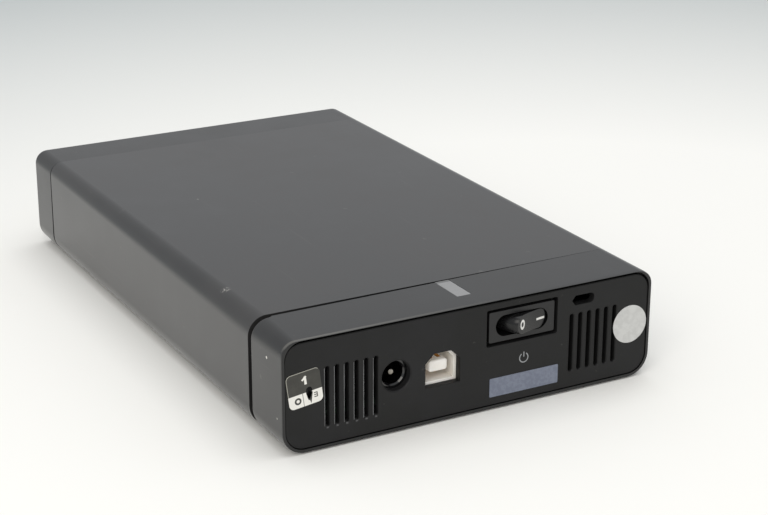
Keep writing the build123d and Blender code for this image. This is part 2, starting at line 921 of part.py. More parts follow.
def outer_contact_y():
    """Just behind the closed button's lowest point."""
    swing = math.radians(contact_swing)
    reach = contact_thickness / 2 + contact_button_height
    across = terminal_pitch + contact_button / 2
    return seesaw_y + reach * math.cos(swing) + across * math.sin(swing) + terminal_clearance


def make_switch_leads():
    """The two insulated leads, from the terminals' eyes down to the bridge board."""
    leads = []
    for x in terminal_places():
        eye_y = switch_back_y + terminal_length - terminal_width / 2
        side_x = x + terminal_thickness / 2 + lead_diameter / 2
        path = FilletPolyline(
            (side_x, eye_y, switch_z),
            (side_x, eye_y + lead_bend + lead_diameter, switch_z),
            (side_x, eye_y + lead_bend + lead_diameter, board_top_z),
            radius=lead_bend,
        )
        section = Plane(origin=path @ 0, z_dir=path % 0) * Circle(lead_diameter / 2)
        leads.append(sweep(section, path=path))
    return leads


# ---------------------------------------------------------------- power jack
def make_dc_jack_housing():
    half = jack_width / 2
    body = block(
        (jack_x - half, jack_x + half),
        (panel_back_y, panel_back_y + jack_depth),
        (board_top_z, jack_z + jack_roof),
    )
    shoulders = body.edges().filter_by(Axis.Y).sort_by(Axis.Z)[-2:]
    body = chamfer(shoulders, jack_roof / 4)
    body -= rod_y(jack_x, jack_z, jack_bore, panel_back_y, panel_back_y + jack_bore_depth)
    mouth = Pos(jack_x, jack_z) * Circle(jack_mouth / 2)
    body -= extrude(Plane.XZ.offset(-panel_back_y) * mouth, amount=(jack_bore - jack_mouth) / 2, taper=45)
    body -= rod_y(jack_x, jack_z, jack_pin_root, panel_back_y + jack_bore_depth, panel_back_y + jack_depth)
    spring_gap = jack_spring_thickness + 0.3
    body -= block(
        (jack_x - jack_bore / 2 - spring_gap, jack_x),
        (panel_back_y + 2, panel_back_y + jack_depth),
        (jack_z - jack_spring_width / 2 - 0.1, jack_z + jack_spring_width / 2 + 0.1),
    ) - rod_y(jack_x, jack_z, jack_bore, panel_back_y + jack_bore_depth, panel_back_y + jack_depth)
    return body


def make_dc_jack_pin():
    tip_y = panel_back_y + jack_pin_recess
    tail_y = panel_back_y + jack_depth
    root_y = panel_back_y + jack_bore_depth
    pin = rod_y(jack_x, jack_z, jack_pin, tip_y, root_y)
    pin = fillet(pin.edges().sort_by(Axis.Y)[0], jack_pin / 4)
    pin += rod_y(jack_x, jack_z, jack_pin_root, root_y, tail_y)
    leg = block(
        (jack_x - jack_leg_width / 2, jack_x + jack_leg_width / 2),
        (tail_y, tail_y + jack_leg_thickness),
        (board_top_z, jack_z + jack_pin_root / 2),
    )
    return pin + leg


def make_dc_jack_spring():
    """The sleeve contact: a leaf along the bore's side with a bow that grips the plug."""
    outer_x = jack_x - jack_bore / 2 - jack_spring_thickness - jack_spring_side_gap
    start_y = panel_back_y + jack_spring_setback
    tail_y = panel_back_y + jack_depth + jack_leg_thickness
    bow_y = (start_y + panel_back_y + jack_bore_depth) / 2
    points = [
        (outer_x, tail_y),
        (outer_x, panel_back_y + jack_bore_depth),
        (outer_x + jack_spring_bow, bow_y),
        (outer_x + jack_spring_toe, start_y),
    ]
    inner = [(x + jack_spring_thickness, y) for x, y in reversed(points)]
    leaf = make_face(Polyline(points + inner, close=True))
    return along_z(leaf, jack_z - jack_spring_width / 2, jack_z + jack_spring_width / 2)


# ---------------------------------------------------------------- data port
def make_usb_housing():
    """The moulded body of the data port, with the tongue that carries the contacts."""
    floor = board_top_z
    roof = port_z + port_height / 2 + port_roof
    outer = port_outline(port_body_width, roof - floor, port_body_chamfer)
    mid = (floor + roof) / 2
    body = along_y(Pos(port_x, mid) * outer, panel_back_y, panel_back_y + port_depth)
    hole = Pos(port_x, port_z) * port_outline(port_width, port_height, port_chamfer)
    body -= along_y(hole, panel_back_y, panel_back_y + port_cavity_depth)
    tongue_front = panel_back_y + tongue_recess
    tongue = block(
        (port_x - tongue_width / 2, port_x + tongue_width / 2),
        (tongue_front, panel_back_y + port_cavity_depth + 1),
        (port_z - tongue_height / 2, port_z + tongue_height / 2),
    )
    tongue = chamfer(tongue.edges().filter_by(Axis.Y), tongue_edge)
    tongue = chamfer(tongue.faces().sort_by(Axis.Y)[0].edges(), tongue_edge / 2)
    body += tongue
    for contact in usb_contact_bars():
        body -= contact
    return body


def usb_contact_bars():
    """Four contacts let into the tongue, two above and two below, with their tails."""
    bars = []
    start = panel_back_y + port_contact_setback
    end = panel_back_y + port_depth
    for side in (-1, 1):
        for level in (-1, 1):
            x = port_x + side * port_contact_pitch / 2
            face_z = port_z + level * tongue_height / 2
            z = sorted((face_z, face_z - level * port_contact_thickness))
            half = port_contact_width / 2
            bars.append(block((x - half, x + half), (start, end), z))
    return bars


def make_usb_contacts():
    contacts = []
    tail_y = panel_back_y + port_depth
    for bar in usb_contact_bars():
        centre = bar.center()
        upper = centre.Z > port_z
        back = tail_y + (port_upper_tail if upper else port_lower_tail)
        half = port_contact_width / 2
        low = centre.Z - port_contact_thickness / 2
        high = centre.Z + port_contact_thickness / 2
        run = block((centre.X - half, centre.X + half), (tail_y, back), (low, high))
        drop = (back - port_contact_thickness, back)
        leg = block((centre.X - half, centre.X + half), drop, (board_top_z, high))
        contacts.append(bar + run + leg)
    return contacts


def make_usb_shell():
    """The folded sheet shield over the port's top and sides, with two legs into the board."""
    roof = port_z + port_height / 2 + port_roof
    height = roof - board_top_z
    mid = (board_top_z + roof) / 2
    gap = port_shell_gap
    outer_w = port_body_width + 2 * (port_shell_thickness + gap)
    outer_h = height + 2 * (port_shell_thickness + gap)
    start = panel_back_y + port_shell_setback
    end = panel_back_y + port_depth
    cut = port_body_chamfer
    outer = along_y(Pos(port_x, mid) * port_outline(outer_w, outer_h, cut), start, end)
    inside = port_outline(port_body_width + 2 * gap, height + 2 * gap, cut)
    inner = along_y(Pos(port_x, mid) * inside, start, end)
    below = block((port_x - outer_w, port_x + outer_w), (start, end), (board_top_z - 2, board_top_z))
    return outer - inner - below


# ---------------------------------------------------------------- bridge board
def board_screw_places():
    return [
        (-board_screw_x, board_front_y - board_screw_rear_inset),
        (board_screw_x, board_front_y - board_screw_rear_inset),
        (board_screw_mid_inset - board_side_x, board_front_y - board_screw_front_inset),
    ]


def make_bridge_board():
    middle = (board_rear_y + board_front_y) / 2
    outline = RectangleRounded(board_width, board_front_y - board_rear_y, board_corner)
    board = along_z(Pos(0, middle) * outline, board_bottom_z, board_top_z)
    for x, y in board_screw_places():
        board -= rod_z(x, y, board_screw_hole, board_bottom_z, board_top_z)
    return board


def make_board_standoffs():
    posts = []
    for x, y in board_screw_places():
        post = rod_z(x, y, standoff_diameter, tray_z + tray_thickness, board_bottom_z)
        posts.append(post - rod_z(x, y, board_screw_hole, tray_z + tray_thickness, board_bottom_z))
    return posts


def cross_recess(length, width, depth):
    """A cross for a driver, cut into a head whose top is at the origin."""
    return Box(length, width, 2 * depth) + Box(width, length, 2 * depth)


def make_board_screws():
    screws = []
    for x, y in board_screw_places():
        end = board_top_z - board_screw_length
        shank = rod_z(x, y, board_screw_shank, end, board_top_z)
        head = rod_z(x, y, board_screw_head, board_top_z, board_top_z + board_screw_head_height)
        cross = cross_recess(board_cross_length, board_cross_width, board_cross_depth)
        screws.append(shank + head - Pos(x, y, board_top_z + board_screw_head_height) * cross)
    return screws


def chip(x, front_inset, width, length, height):
    """A flat package on the bridge board."""
    return Pos(x, board_front_y - front_inset, board_top_z + height / 2) * Box(width, length, height)


def make_bridge_chips():
    """The bridge controller, its flash memory and the regulator."""
    return [
        chip(
            controller_side_inset - board_side_x, controller_front_inset,
            controller_size, controller_size, controller_height,
        ),
        chip(
            board_side_x - memory_side_inset, memory_front_inset,
            memory_width, memory_length, memory_height,
        ),
        chip(
            regulator_side_inset - board_side_x, regulator_front_inset,
            regulator_width, regulator_length, regulator_height,
        ),
    ]


def make_crystal():
    outline = RectangleRounded(crystal_width, crystal_length, crystal_corner)
    can = Pos(crystal_x, board_front_y - crystal_front_inset) * outline
    return along_z(can, board_top_z, board_top_z + crystal_height)


def make_capacitors():
    """Three cans, each with the rolled groove that holds its seal."""
    cans = []
    beside_switch = switch_x + (switch_body_width + can_diameter) / 2 + can_switch_gap
    beside_jack = jack_x - jack_width / 2 - can_jack_gap
    for x, diameter in (
        (beside_switch, can_diameter),
        (beside_switch + can_pitch, small_can_diameter),
        (beside_jack, can_diameter),
    ):
        groove = (board_top_z + can_groove, board_top_z + can_groove + can_groove_width)
        can = rod_z(x, can_y, diameter, board_top_z, board_top_z + can_height)
        can -= rod_z(x, can_y, diameter, *groove) - rod_z(x, can_y, diameter - 2 * can_groove_depth, *groove)
        cans.append(chamfer(can.edges().sort_by(Axis.Z)[-1], can_groove_depth))
    return cans


def make_inductors():
    coils = []
    for x in (inductor_left_inset - board_side_x, board_side_x - inductor_right_inset):
        foot = Pos(x, inductor_y) * RectangleRounded(inductor_size, inductor_size, inductor_size / 6)
        drum = rod_z(x, inductor_y, inductor_drum, board_top_z, board_top_z + inductor_height)
        coils.append(along_z(foot, board_top_z, board_top_z + inductor_height / 4) + drum)
    return coils


def make_status_lamp():
    body = Pos(window_x, lamp_y) * RectangleRounded(lamp_size, lamp_length, lamp_corner)
    return along_z(body, board_top_z, board_top_z + lamp_height)


def make_drive_socket():
    """The socket under the board's front edge that the drive plugs into."""
    end_y = drive_rear_y - socket_gap
    low = board_bottom_z - socket_height
    high = board_bottom_z
    body = block(
        (plug_x - plug_width / 2 - socket_wall, plug_x + plug_width / 2 + socket_wall),
        (board_front_y - socket_slot_reach - socket_wall, end_y),
        (low, high),
    )
    slot = block(
        (plug_x - plug_width / 2, plug_x + plug_width / 2),
        (board_front_y - socket_slot_reach, end_y),
        ((low + high - socket_slot) / 2, (low + high + socket_slot) / 2),
    )
    return body - slot


# ---------------------------------------------------------------- drive tray
def make_drive_tray():
    """The folded steel tray under the drive and the board."""
    flange_x = drive_width / 2 + tray_side_gap
    outer_x = flange_x + tray_thickness
    tray = block((-outer_x, outer_x), (tray_rear_y, drive_front_y), (tray_z, tray_z + tray_thickness))
    for side in (-1, 1):
        x = sorted((side * flange_x, side * outer_x))
        tray += block(x, (drive_rear_y, drive_front_y), (tray_z, tray_z + tray_flange))
        lug_x = sorted((side * (screw_x - lug_width / 2), side * min(outer_x + 1, screw_x + lug_width / 2)))
        lug_span = (lug_y - tray_thickness / 2, lug_y + tray_thickness / 2)
        tray += block(lug_x, lug_span, (tray_z, lug_top_z))
        tray -= rod_y(side * screw_x, screw_z, screw_hole, lug_span[0], lug_span[1])
        for y in mount_rows():
            tray -= rod_x(side * outer_x, y, drive_z + mount_hole_z, mount_hole, tray_thickness * 2)
    window = RectangleRounded(tray_window_width, tray_window_length, tray_window_corner)
    for y in (drive_mid_y - tray_window_pitch / 2, drive_mid_y + tray_window_pitch / 2):
        tray -= along_z(Pos(0, y) * window, tray_z, tray_z + tray_thickness)
    return tray


def mount_rows():
    """Where the drive's side screws sit along its length."""
    return [drive_rear_y + mount_hole_rear, drive_rear_y + mount_hole_rear + mount_hole_span]


def make_drive_screws():
    screws = []
    seat = drive_width / 2 + tray_side_gap + tray_thickness
    z = drive_z + mount_hole_z
    for side in (-1, 1):
        for y in mount_rows():
            turn = Pos(side * seat, y, z) * Rot(0, side * 90, 0)
            tall = mount_screw_head_height
            shank = Pos(0, 0, -mount_screw_reach / 2) * Cylinder(mount_screw / 2, mount_screw_reach)
            head = Pos(0, 0, tall / 2) * Cylinder(mount_screw_head / 2, tall)
            cross = cross_recess(mount_cross_length, mount_cross_width, mount_cross_depth)
            screws.append(turn * (shank + head - Pos(0, 0, tall) * cross))
    return screws


# ---------------------------------------------------------------- hard disk drive
def make_drive_base():
    """The cast base: a round well for the discs, a bay for the arm, and a pocket for the board."""
    outline = Pos(0, drive_mid_y) * RectangleRounded(drive_width, drive_length, drive_corner)
    body = along_z(outline, drive_z, base_top_z)
    well = platter_diameter / 2 + disc_well_clearance
    body -= rod_z(0, platter_y, 2 * well, deck_z, base_top_z)
    body -= along_z(arm_bay(0), deck_z, base_top_z)
    pocket_y = (drive_rear_y - 1, drive_rear_y + drive_board_length + 1)
    pocket_x = (drive_wall - drive_width / 2, drive_width / 2 - drive_wall)
    body -= block(pocket_x, pocket_y, (drive_z, deck_z - drive_wall))
    body -= rod_z(0, platter_y, stator_diameter + 2 * motor_pocket_room, drive_z, drive_z + drive_deck / 3)
    for side in (-1, 1):
        for y in mount_rows():
            hole = Pos(side * drive_width / 2, y, drive_z + mount_hole_z) * Rot(0, 90, 0)
            body += block(
                sorted((side * (pocket_x[1] - mount_boss_wall), side * (drive_width / 2 - 1))),
                (y - mount_boss / 2, y + mount_boss / 2),
                (drive_z + mount_boss_lift, deck_z + 2),
            )
            body -= hole * Cylinder(mount_hole / 2, 2 * (mount_screw_reach + 1))
    body -= rod_z(0, platter_y, shaft_diameter + 2 * hub_clearance, shaft_foot_z - shaft_gap, deck_z)
    for x, y in cover_screw_places():
        body -= rod_z(x, y, cover_screw_hole, cover_z - cover_screw_length - 1, base_top_z)
    for x, y in board_post_places():
        body += rod_z(x, y, drive_post, drive_board_top_z, deck_z - drive_wall)
    return body + rod_z(swing_x, swing_y, swing_post, deck_z, base_top_z)


def arm_bay(grow):
    """The outline of the bay beside the disc well, in which the arm swings."""
    right = drive_width / 2 - 2 * drive_wall
    left = swing_x - head_reach - ramp_foot - bay_tip_room
    bay = RectangleRounded(right - left + 2 * grow, bay_length + 2 * grow, bay_corner + grow)
    return Pos((right + left) / 2, swing_y - bay_offset) * bay


def board_post_places():
    """The four bosses that the drive's own board is screwed to."""
    x = drive_width / 2 - 3 * drive_wall
    rows = (drive_boss_rear_inset, drive_board_length - drive_boss_front_inset)
    return [(side * x, drive_rear_y + y) for side in (-1, 1) for y in rows]


def cover_screw_places():
    """Six screws round the cover."""
    x = drive_width / 2 - drive_wall - cover_screw_side_inset
    rear = drive_rear_y + cover_screw_end_inset
    front = drive_front_y - cover_screw_end_inset
    middle = swing_y + swing_post
    return [(side * x, y) for side in (-1, 1) for y in (rear, middle, front)]


def make_drive_gasket():
    outer = Pos(0, drive_mid_y) * RectangleRounded(
        drive_width - 2 * gasket_inset, drive_length - 2 * gasket_inset, drive_corner
    )
    ring = along_z(outer, base_top_z, cover_z)
    well = platter_diameter / 2 + disc_well_clearance + gasket_well_gap
    ring -= rod_z(0, platter_y, 2 * well, base_top_z, cover_z)
    ring -= along_z(arm_bay(gasket_width / 4), base_top_z, cover_z)
    for x, y in cover_screw_places():
        ring -= rod_z(x, y, cover_screw_hole, base_top_z, cover_z)
    return ring


def make_drive_cover():
    width = drive_width - 2 * cover_margin
    length = drive_length - 2 * cover_margin
    outline = Pos(0, drive_mid_y) * RectangleRounded(width, length, drive_corner)
    cover = along_z(outline, cover_z, drive_top_z)
    outer = platter_diameter - 2 * cover_groove_inset
    groove = rod_z(0, platter_y, outer, drive_top_z - cover_groove_depth, drive_top_z)
    inner = outer - 2 * cover_groove_width
    cover -= groove - rod_z(0, platter_y, inner, drive_top_z - cover_groove_depth, drive_top_z)
    for x, y in cover_screw_places():
        cover -= rod_z(x, y, cover_screw_hole, cover_z, drive_top_z)
    return cover - rod_z(breather_x, swing_y - breather_setback, breather_diameter, cover_z, drive_top_z)


def make_cover_screws():
    screws = []
    for x, y in cover_screw_places():
        head_top = drive_top_z + cover_screw_height
        head = rod_z(x, y, cover_screw_head, drive_top_z, head_top)
        shank = rod_z(x, y, cover_screw_shank, drive_top_z - cover_screw_length, drive_top_z)
        socket = Pos(x, y) * RegularPolygon(cover_screw_head / 4, 6)
        screws.append(head + shank - along_z(socket, head_top - cover_socket_depth, head_top))
    return screws


def make_spindle_hub():
    """The turning hub that carries the discs on the motor's shaft."""
    low = platter_low_z - hub_flange_thickness
    top = platter_low_z + (platter_count - 1) * platter_pitch + platter_thickness
    core = platter_bore / 2 - hub_clearance
    hub = rod_z(0, platter_y, 2 * core, low, top) + rod_z(0, platter_y, hub_flange, low, platter_low_z)
    hub -= rod_z(0, platter_y, stator_diameter + 2 * stator_gap, low, top - hub_roof)
    shaft = rod_z(0, platter_y, shaft_diameter, shaft_foot_z, top)
    return hub + shaft


def make_spindle_stator():
    """The fixed motor core, a toothed stack on a sleeve, inside the hub."""
    low = deck_z
    high = platter_low_z + (platter_count - 1) * platter_pitch + platter_thickness - stator_drop
    core = rod_z(0, platter_y, stator_core, low, high)
    tip = stator_diameter / 2 - tooth_head_inset
    for i in range(stator_teeth):
        span = (low + tooth_lift, high)
        tooth = block((0, tip - tooth_head_inset), (-tooth_width / 2, tooth_width / 2), span)
        half = tooth_head_width / 2
        head = block((tip - tooth_head_depth, tip), (-half, half), span)
        core += Pos(0, platter_y, 0) * Rot(0, 0, i * 360 / stator_teeth) * (tooth + head)
    return core - rod_z(0, platter_y, shaft_diameter + 2 * hub_clearance, low, high)


def make_platters():
    discs = []
    for i in range(platter_count):
        low = platter_low_z + i * platter_pitch
        disc = rod_z(0, platter_y, platter_diameter, low, low + platter_thickness)
        discs.append(disc - rod_z(0, platter_y, platter_bore, low, low + platter_thickness))
    return discs


def make_disc_spacer():
    low = platter_low_z + platter_thickness
    high = platter_low_z + platter_pitch
    ring = rod_z(0, platter_y, hub_flange, low, high)
    return ring - rod_z(0, platter_y, platter_bore, low, high)


def make_disc_clamp():
    low = platter_low_z + (platter_count - 1) * platter_pitch + platter_thickness
    clamp = rod_z(0, platter_y, clamp_diameter, low, low + clamp_thickness)
    clamp = chamfer(clamp.edges().sort_by(Axis.Z)[-1], clamp_bevel)
    screw_top = low + clamp_thickness + clamp_screw_height
    for i in range(clamp_screws):
        angle = math.radians(i * 360 / clamp_screws)
        x = clamp_screw_circle / 2 * math.cos(angle)
        y = platter_y + clamp_screw_circle / 2 * math.sin(angle)
        clamp += rod_z(x, y, clamp_screw_head, low + clamp_thickness, screw_top)
    return clamp


def sector(inner, outer, start, end):
    """A ring sector about the swing axis, between two angles in degrees."""
    far = CenterArc((0, 0), outer, start, end - start)
    near = CenterArc((0, 0), inner, start, end - start)
    return make_face([far, near, Line(far @ 0, near @ 0), Line(far @ 1, near @ 1)])


def make_head_arms():
    """The swinging comb of three arms with its coil, parked off the discs."""
    bore = swing_post + 2 * swing_bore_clearance
    levels = arm_levels()
    low = levels[0]
    high = levels[-1] + arm_thickness
    comb = along_z(Circle(swing_barrel / 2), low, high)
    half_root = arm_root_width / 2
    half_tip = arm_tip_width / 2
    blade = [
        (0, -half_root), (arm_length, -half_tip), (head_reach, -head_size / 2),
        (head_reach, head_size / 2), (arm_length, half_tip), (0, half_root),
    ]
    for level in levels:
        comb += along_z(make_face(Polyline(blade, close=True)), level, level + arm_thickness)
    mid = (low + high) / 2
    coil_z = (mid - coil_thickness / 2, mid + coil_thickness / 2)
    start = 180 - coil_half_angle
    end = 180 + coil_half_angle
    ring = sector(swing_barrel / 2 - 1, coil_outer, start, end)
    slack = math.degrees(coil_band / coil_outer)
    hole = sector(coil_inner + coil_band / 2, coil_outer - coil_band, start + slack, end - slack)
    comb += along_z(ring - hole, coil_z[0], coil_z[1])
    comb -= along_z(Circle(bore / 2), low - 1, high + 1)
    return Pos(swing_x, swing_y, 0) * Rot(0, 0, parked_angle) * comb


def arm_levels():
    """The undersides of the arms: below, between and above the discs."""
    step = platter_pitch
    between = arm_mid_z - arm_thickness / 2
    return [between - step, between, between + step]


def make_magnet_yokes():
    """The two steel yokes with their magnets, above and below the coil, on posts."""
    yokes = []
    mid = arm_mid_z
    inner_gap = coil_thickness / 2 + magnet_air
    plate = sector(yoke_inner, yoke_outer, yoke_start, yoke_end)
    magnet = sector(
        yoke_inner + magnet_inner_inset, yoke_outer - magnet_outer_inset,
        yoke_start + magnet_end_angle, yoke_end - magnet_end_angle,
    )
    place = Pos(swing_x, swing_y, 0)
    for side in (-1, 1):
        near = mid + side * inner_gap
        far = near + side * magnet_thickness
        outer = far + side * yoke_thickness
        piece = along_z(magnet, *sorted((near, far)))
        yokes.append(place * (piece + along_z(plate, *sorted((far, outer)))))
    for angle in (yoke_start + yoke_post_angle, yoke_end - yoke_post_angle):
        x = (yoke_outer - yoke_post_inset) * math.cos(math.radians(angle))
        y = (yoke_outer - yoke_post_inset) * math.sin(math.radians(angle))
        yokes[0] += place * rod_z(x, y, yoke_post, deck_z, mid + inner_gap + magnet_thickness)
    return yokes


def make_head_ramp():
    """The comb beside the discs that the heads rest on when they are parked."""
    beside = arm_tip_width / 2 + ramp_gap
    along = (head_reach - ramp_length, head_reach + ramp_foot)
    body = block(along, (beside, beside + ramp_width), (deck_z, arm_levels()[-1] + arm_thickness))
    return Pos(swing_x, swing_y, 0) * Rot(0, 0, parked_angle) * body


def make_drive_board():
    z = (drive_board_z, drive_board_top_z)
    x = drive_width / 2 - drive_wall - drive_board_side_gap
    board = block((-x, x), (drive_rear_y + drive_board_side_gap, drive_rear_y + drive_board_length), z)
    board -= rod_z(0, platter_y, stator_diameter + 2 * drive_board_motor_room, z[0], z[1])
    reach = plug_width / 2 + plug_wall + plug_gap
    plug_x_span = (plug_x - reach, plug_x + reach)
    board -= block(plug_x_span, (drive_rear_y, drive_rear_y + plug_depth), z)
    return board


def make_drive_plug():
    """The drive's own plug, with the two tongues that enter the socket."""
    body = block(
        (plug_x - plug_width / 2 - plug_wall, plug_x + plug_width / 2 + plug_wall),
        (drive_rear_y + plug_gap, drive_rear_y + plug_depth - plug_gap),
        (drive_board_z, deck_z - drive_wall),
    )
    for left, right in ((0, plug_key_place), (plug_key_place + plug_key_width, 1)):
        x0 = plug_x - plug_width / 2 + plug_wall + left * (plug_width - 2 * plug_wall)
        x1 = plug_x - plug_width / 2 + plug_wall + right * (plug_width - 2 * plug_wall)
        mid = board_bottom_z - socket_height / 2
        span = (mid - plug_tongue / 2, mid + plug_tongue / 2)
        body += block((x0, x1), (board_front_y - plug_tongue_reach, drive_rear_y + plug_gap), span)
    return body


def make_drive_chips():
    """The drive's controller, cache, motor driver and preamplifier."""
    lift = drive_board_top_z + drive_chip_height / 2
    return [
        Pos(x, drive_rear_y + setback, lift) * Box(size, size, drive_chip_height)
        for x, setback, size in drive_chip_spots
    ]


# ---------------------------------------------------------------- parts
parts = {
    "sleeve": make_sleeve(),
    "rear_cap": make_rear_cap(),
    "front_cap": make_front_cap(),
    "rubber_feet": make_rubber_feet(),
    "port_panel": make_port_panel(),
    "panel_screws": make_panel_screws(),
    "lock_plate": make_lock_plate(),
    "light_pipe": make_light_pipe(),
    "seal_sticker": make_seal_sticker(),
    "number_sticker": make_number_sticker(),
    "blank_label": make_blank_label(),
    "switch_housing": make_switch_housing(),
    "switch_rocker": make_switch_rocker(),
    "switch_plunger": make_switch_plunger(),
    "switch_spring": make_switch_spring(),
    "switch_contact": make_switch_contact(),
    "switch_terminals": make_switch_terminals(),
    "switch_leads": make_switch_leads(),
    "dc_jack_housing": make_dc_jack_housing(),
    "dc_jack_pin": make_dc_jack_pin(),
    "dc_jack_spring": make_dc_jack_spring(),
    "usb_housing": make_usb_housing(),
    "usb_contacts": make_usb_contacts(),
    "usb_shell": make_usb_shell(),
    "bridge_board": make_bridge_board(),
    "board_standoffs": make_board_standoffs(),
    "board_screws": make_board_screws(),
    "bridge_chips": make_bridge_chips(),
    "crystal": make_crystal(),
    "capacitors": make_capacitors(),
    "inductors": make_inductors(),
    "status_lamp": make_status_lamp(),
    "drive_socket": make_drive_socket(),
    "drive_tray": make_drive_tray(),
    "drive_screws": make_drive_screws(),
    "drive_base": make_drive_base(),
    "drive_gasket": make_drive_gasket(),
    "drive_cover": make_drive_cover(),
    "cover_screws": make_cover_screws(),
    "spindle_hub": make_spindle_hub(),
    "spindle_stator": make_spindle_stator(),
    "platters": make_platters(),
    "disc_spacer": make_disc_spacer(),
    "disc_clamp": make_disc_clamp(),
    "head_arms": make_head_arms(),
    "magnet_yokes": make_magnet_yokes(),
    "head_ramp": make_head_ramp(),
    "drive_board": make_drive_board(),
    "drive_plug": make_drive_plug(),
    "drive_chips": make_drive_chips(),
}

os.makedirs("parts", exist_ok=True)
for name, shape in parts.items():
    pieces = shape if isinstance(shape, list) else [shape]
    solids = [solid for piece in pieces for solid in piece.solids()]
    export_step(Compound(children=solids), f"parts/{name}.step")
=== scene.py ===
import math
import bmesh
import bpy
from mathutils import Matrix, Vector


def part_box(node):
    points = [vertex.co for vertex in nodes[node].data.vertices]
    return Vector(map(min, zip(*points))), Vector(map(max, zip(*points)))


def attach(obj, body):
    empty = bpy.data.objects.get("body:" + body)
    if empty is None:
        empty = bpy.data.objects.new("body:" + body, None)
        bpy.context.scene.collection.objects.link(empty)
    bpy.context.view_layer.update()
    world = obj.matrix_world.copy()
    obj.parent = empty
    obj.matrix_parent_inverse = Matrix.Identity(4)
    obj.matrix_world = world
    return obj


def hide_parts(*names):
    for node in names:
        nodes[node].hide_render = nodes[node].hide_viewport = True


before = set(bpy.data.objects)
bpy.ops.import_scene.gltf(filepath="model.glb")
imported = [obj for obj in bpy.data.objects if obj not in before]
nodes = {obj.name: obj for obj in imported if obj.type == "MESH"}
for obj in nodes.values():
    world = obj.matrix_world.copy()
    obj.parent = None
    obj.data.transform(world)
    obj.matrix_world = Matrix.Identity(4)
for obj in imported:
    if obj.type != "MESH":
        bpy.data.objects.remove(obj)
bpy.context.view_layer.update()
mm = 0.001
print("frame loaded:", len(nodes), "nodes")


# ---- small helpers
def linearColour(hexText):
    # sRGB hex to the linear values that shaders want
    channels = [int(hexText[i:i + 2], 16) / 255 for i in (1, 3, 5)]
    return [c / 12.92 if c <= 0.04045 else ((c + 0.055) / 1.055) ** 2.4 for c in channels] + [1.0]


def addNode(tree, kind, inputs=None, **properties):
    # one node, a shader's when only its short name is given; an input that is given a socket is linked, a hex
    # text is a colour, anything else is its value
    node = tree.nodes.new(kind if "Node" in kind else "ShaderNode" + kind)
    for name, value in properties.items():
        setattr(node, name, value)
    for name, value in (inputs or {}).items():
        if isinstance(value, bpy.types.NodeSocket):
            tree.links.new(value, node.inputs[name])
        else:
            isColour = isinstance(value, str) and value.startswith("#")
            node.inputs[name].default_value = linearColour(value) if isColour else value
    return node


def newMaterial(name, inputs):
    # a Principled surface that is ready for its pattern, with the Object coordinates to draw it on
    material = bpy.data.materials.new(name)
    material.use_nodes = True
    tree = material.node_tree
    tree.nodes.clear()
    shader = addNode(tree, "BsdfPrincipled", inputs)
    addNode(tree, "OutputMaterial", {"Surface": shader.outputs[0]})
    coords = addNode(tree, "TexCoord").outputs["Object"]
    return material, tree, shader, coords


def patternScale(size):
    # texture scale for a feature that is about this many millimetres across
    return 1 / (size * mm)


def finishSurface(tree, shader, colour, uneven, span, rough, height, depth):
    # the colour, a roughness that runs between two values over a pattern's span, and a relief in millimetres
    tree.links.new(colour, shader.inputs["Base Color"])
    rough = addNode(tree, "MapRange", {"Value": uneven, "From Min": span[0], "From Max": span[1],
                                       "To Min": rough[0], "To Max": rough[1]}).outputs[0]
    tree.links.new(rough, shader.inputs["Roughness"])
    bump = addNode(tree, "Bump", {"Height": height, "Distance": depth * mm}).outputs[0]
    tree.links.new(bump, shader.inputs["Normal"])


# ---- camera
# where it stands, its lens and its sensor in millimetres, its angles in degrees
cameraView = {"place": (-249.954, -498.336, 220.84), "azimuth": -28.803, "elevation": 20.285,
              "roll": 0.157, "lens": 89.273, "sensor": 36.0}


def makeCamera(view):
    camera = bpy.data.cameras.new("camera")
    camera.lens = view["lens"]
    camera.sensor_width = view["sensor"]
    camera.clip_start = 0.01
    item = bpy.data.objects.new("camera", camera)
    azimuth, elevation = math.radians(view["azimuth"]), math.radians(view["elevation"])
    back = Vector((math.sin(azimuth) * math.cos(elevation), -math.cos(azimuth) * math.cos(elevation),
                   math.sin(elevation)))
    turn = (-back).to_track_quat("-Z", "Y").to_matrix() @ Matrix.Rotation(math.radians(view["roll"]), 3, "Z")
    item.matrix_world = Matrix.Translation(Vector(view["place"]) * mm) @ turn.to_4x4()
    bpy.context.scene.collection.objects.link(item)
    bpy.context.scene.camera = item


makeCamera(cameraView)
print("camera placed")


# ---- studio: a pale floor with a painted pool of light, pale near the object and greyer away from it, which also glows in reflections; a pale surround and two soft lamps
studio = {"floorSize": 6.0, "floorNear": "#f5f4f0", "floorFar": "#bcc1c1", "nearRadius": 0.2,
          "farRadius": 0.56, "middle": (0.06, -0.06), "surround": "#eceef0",
          "ambient": 0.80, "mirrored": 0.88, "floorMirrored": 0.28}
lamps = [  # place and size in metres, power in watts
    {"name": "keyLamp", "place": (-0.8, -0.9, 0.8), "size": 0.8, "power": 6.4, "colour": "#fffaf2"},
    {"name": "topLamp", "place": (0.1, 0.0, 1.4), "size": 1.2, "power": 6.4, "colour": "#ffffff"},
]


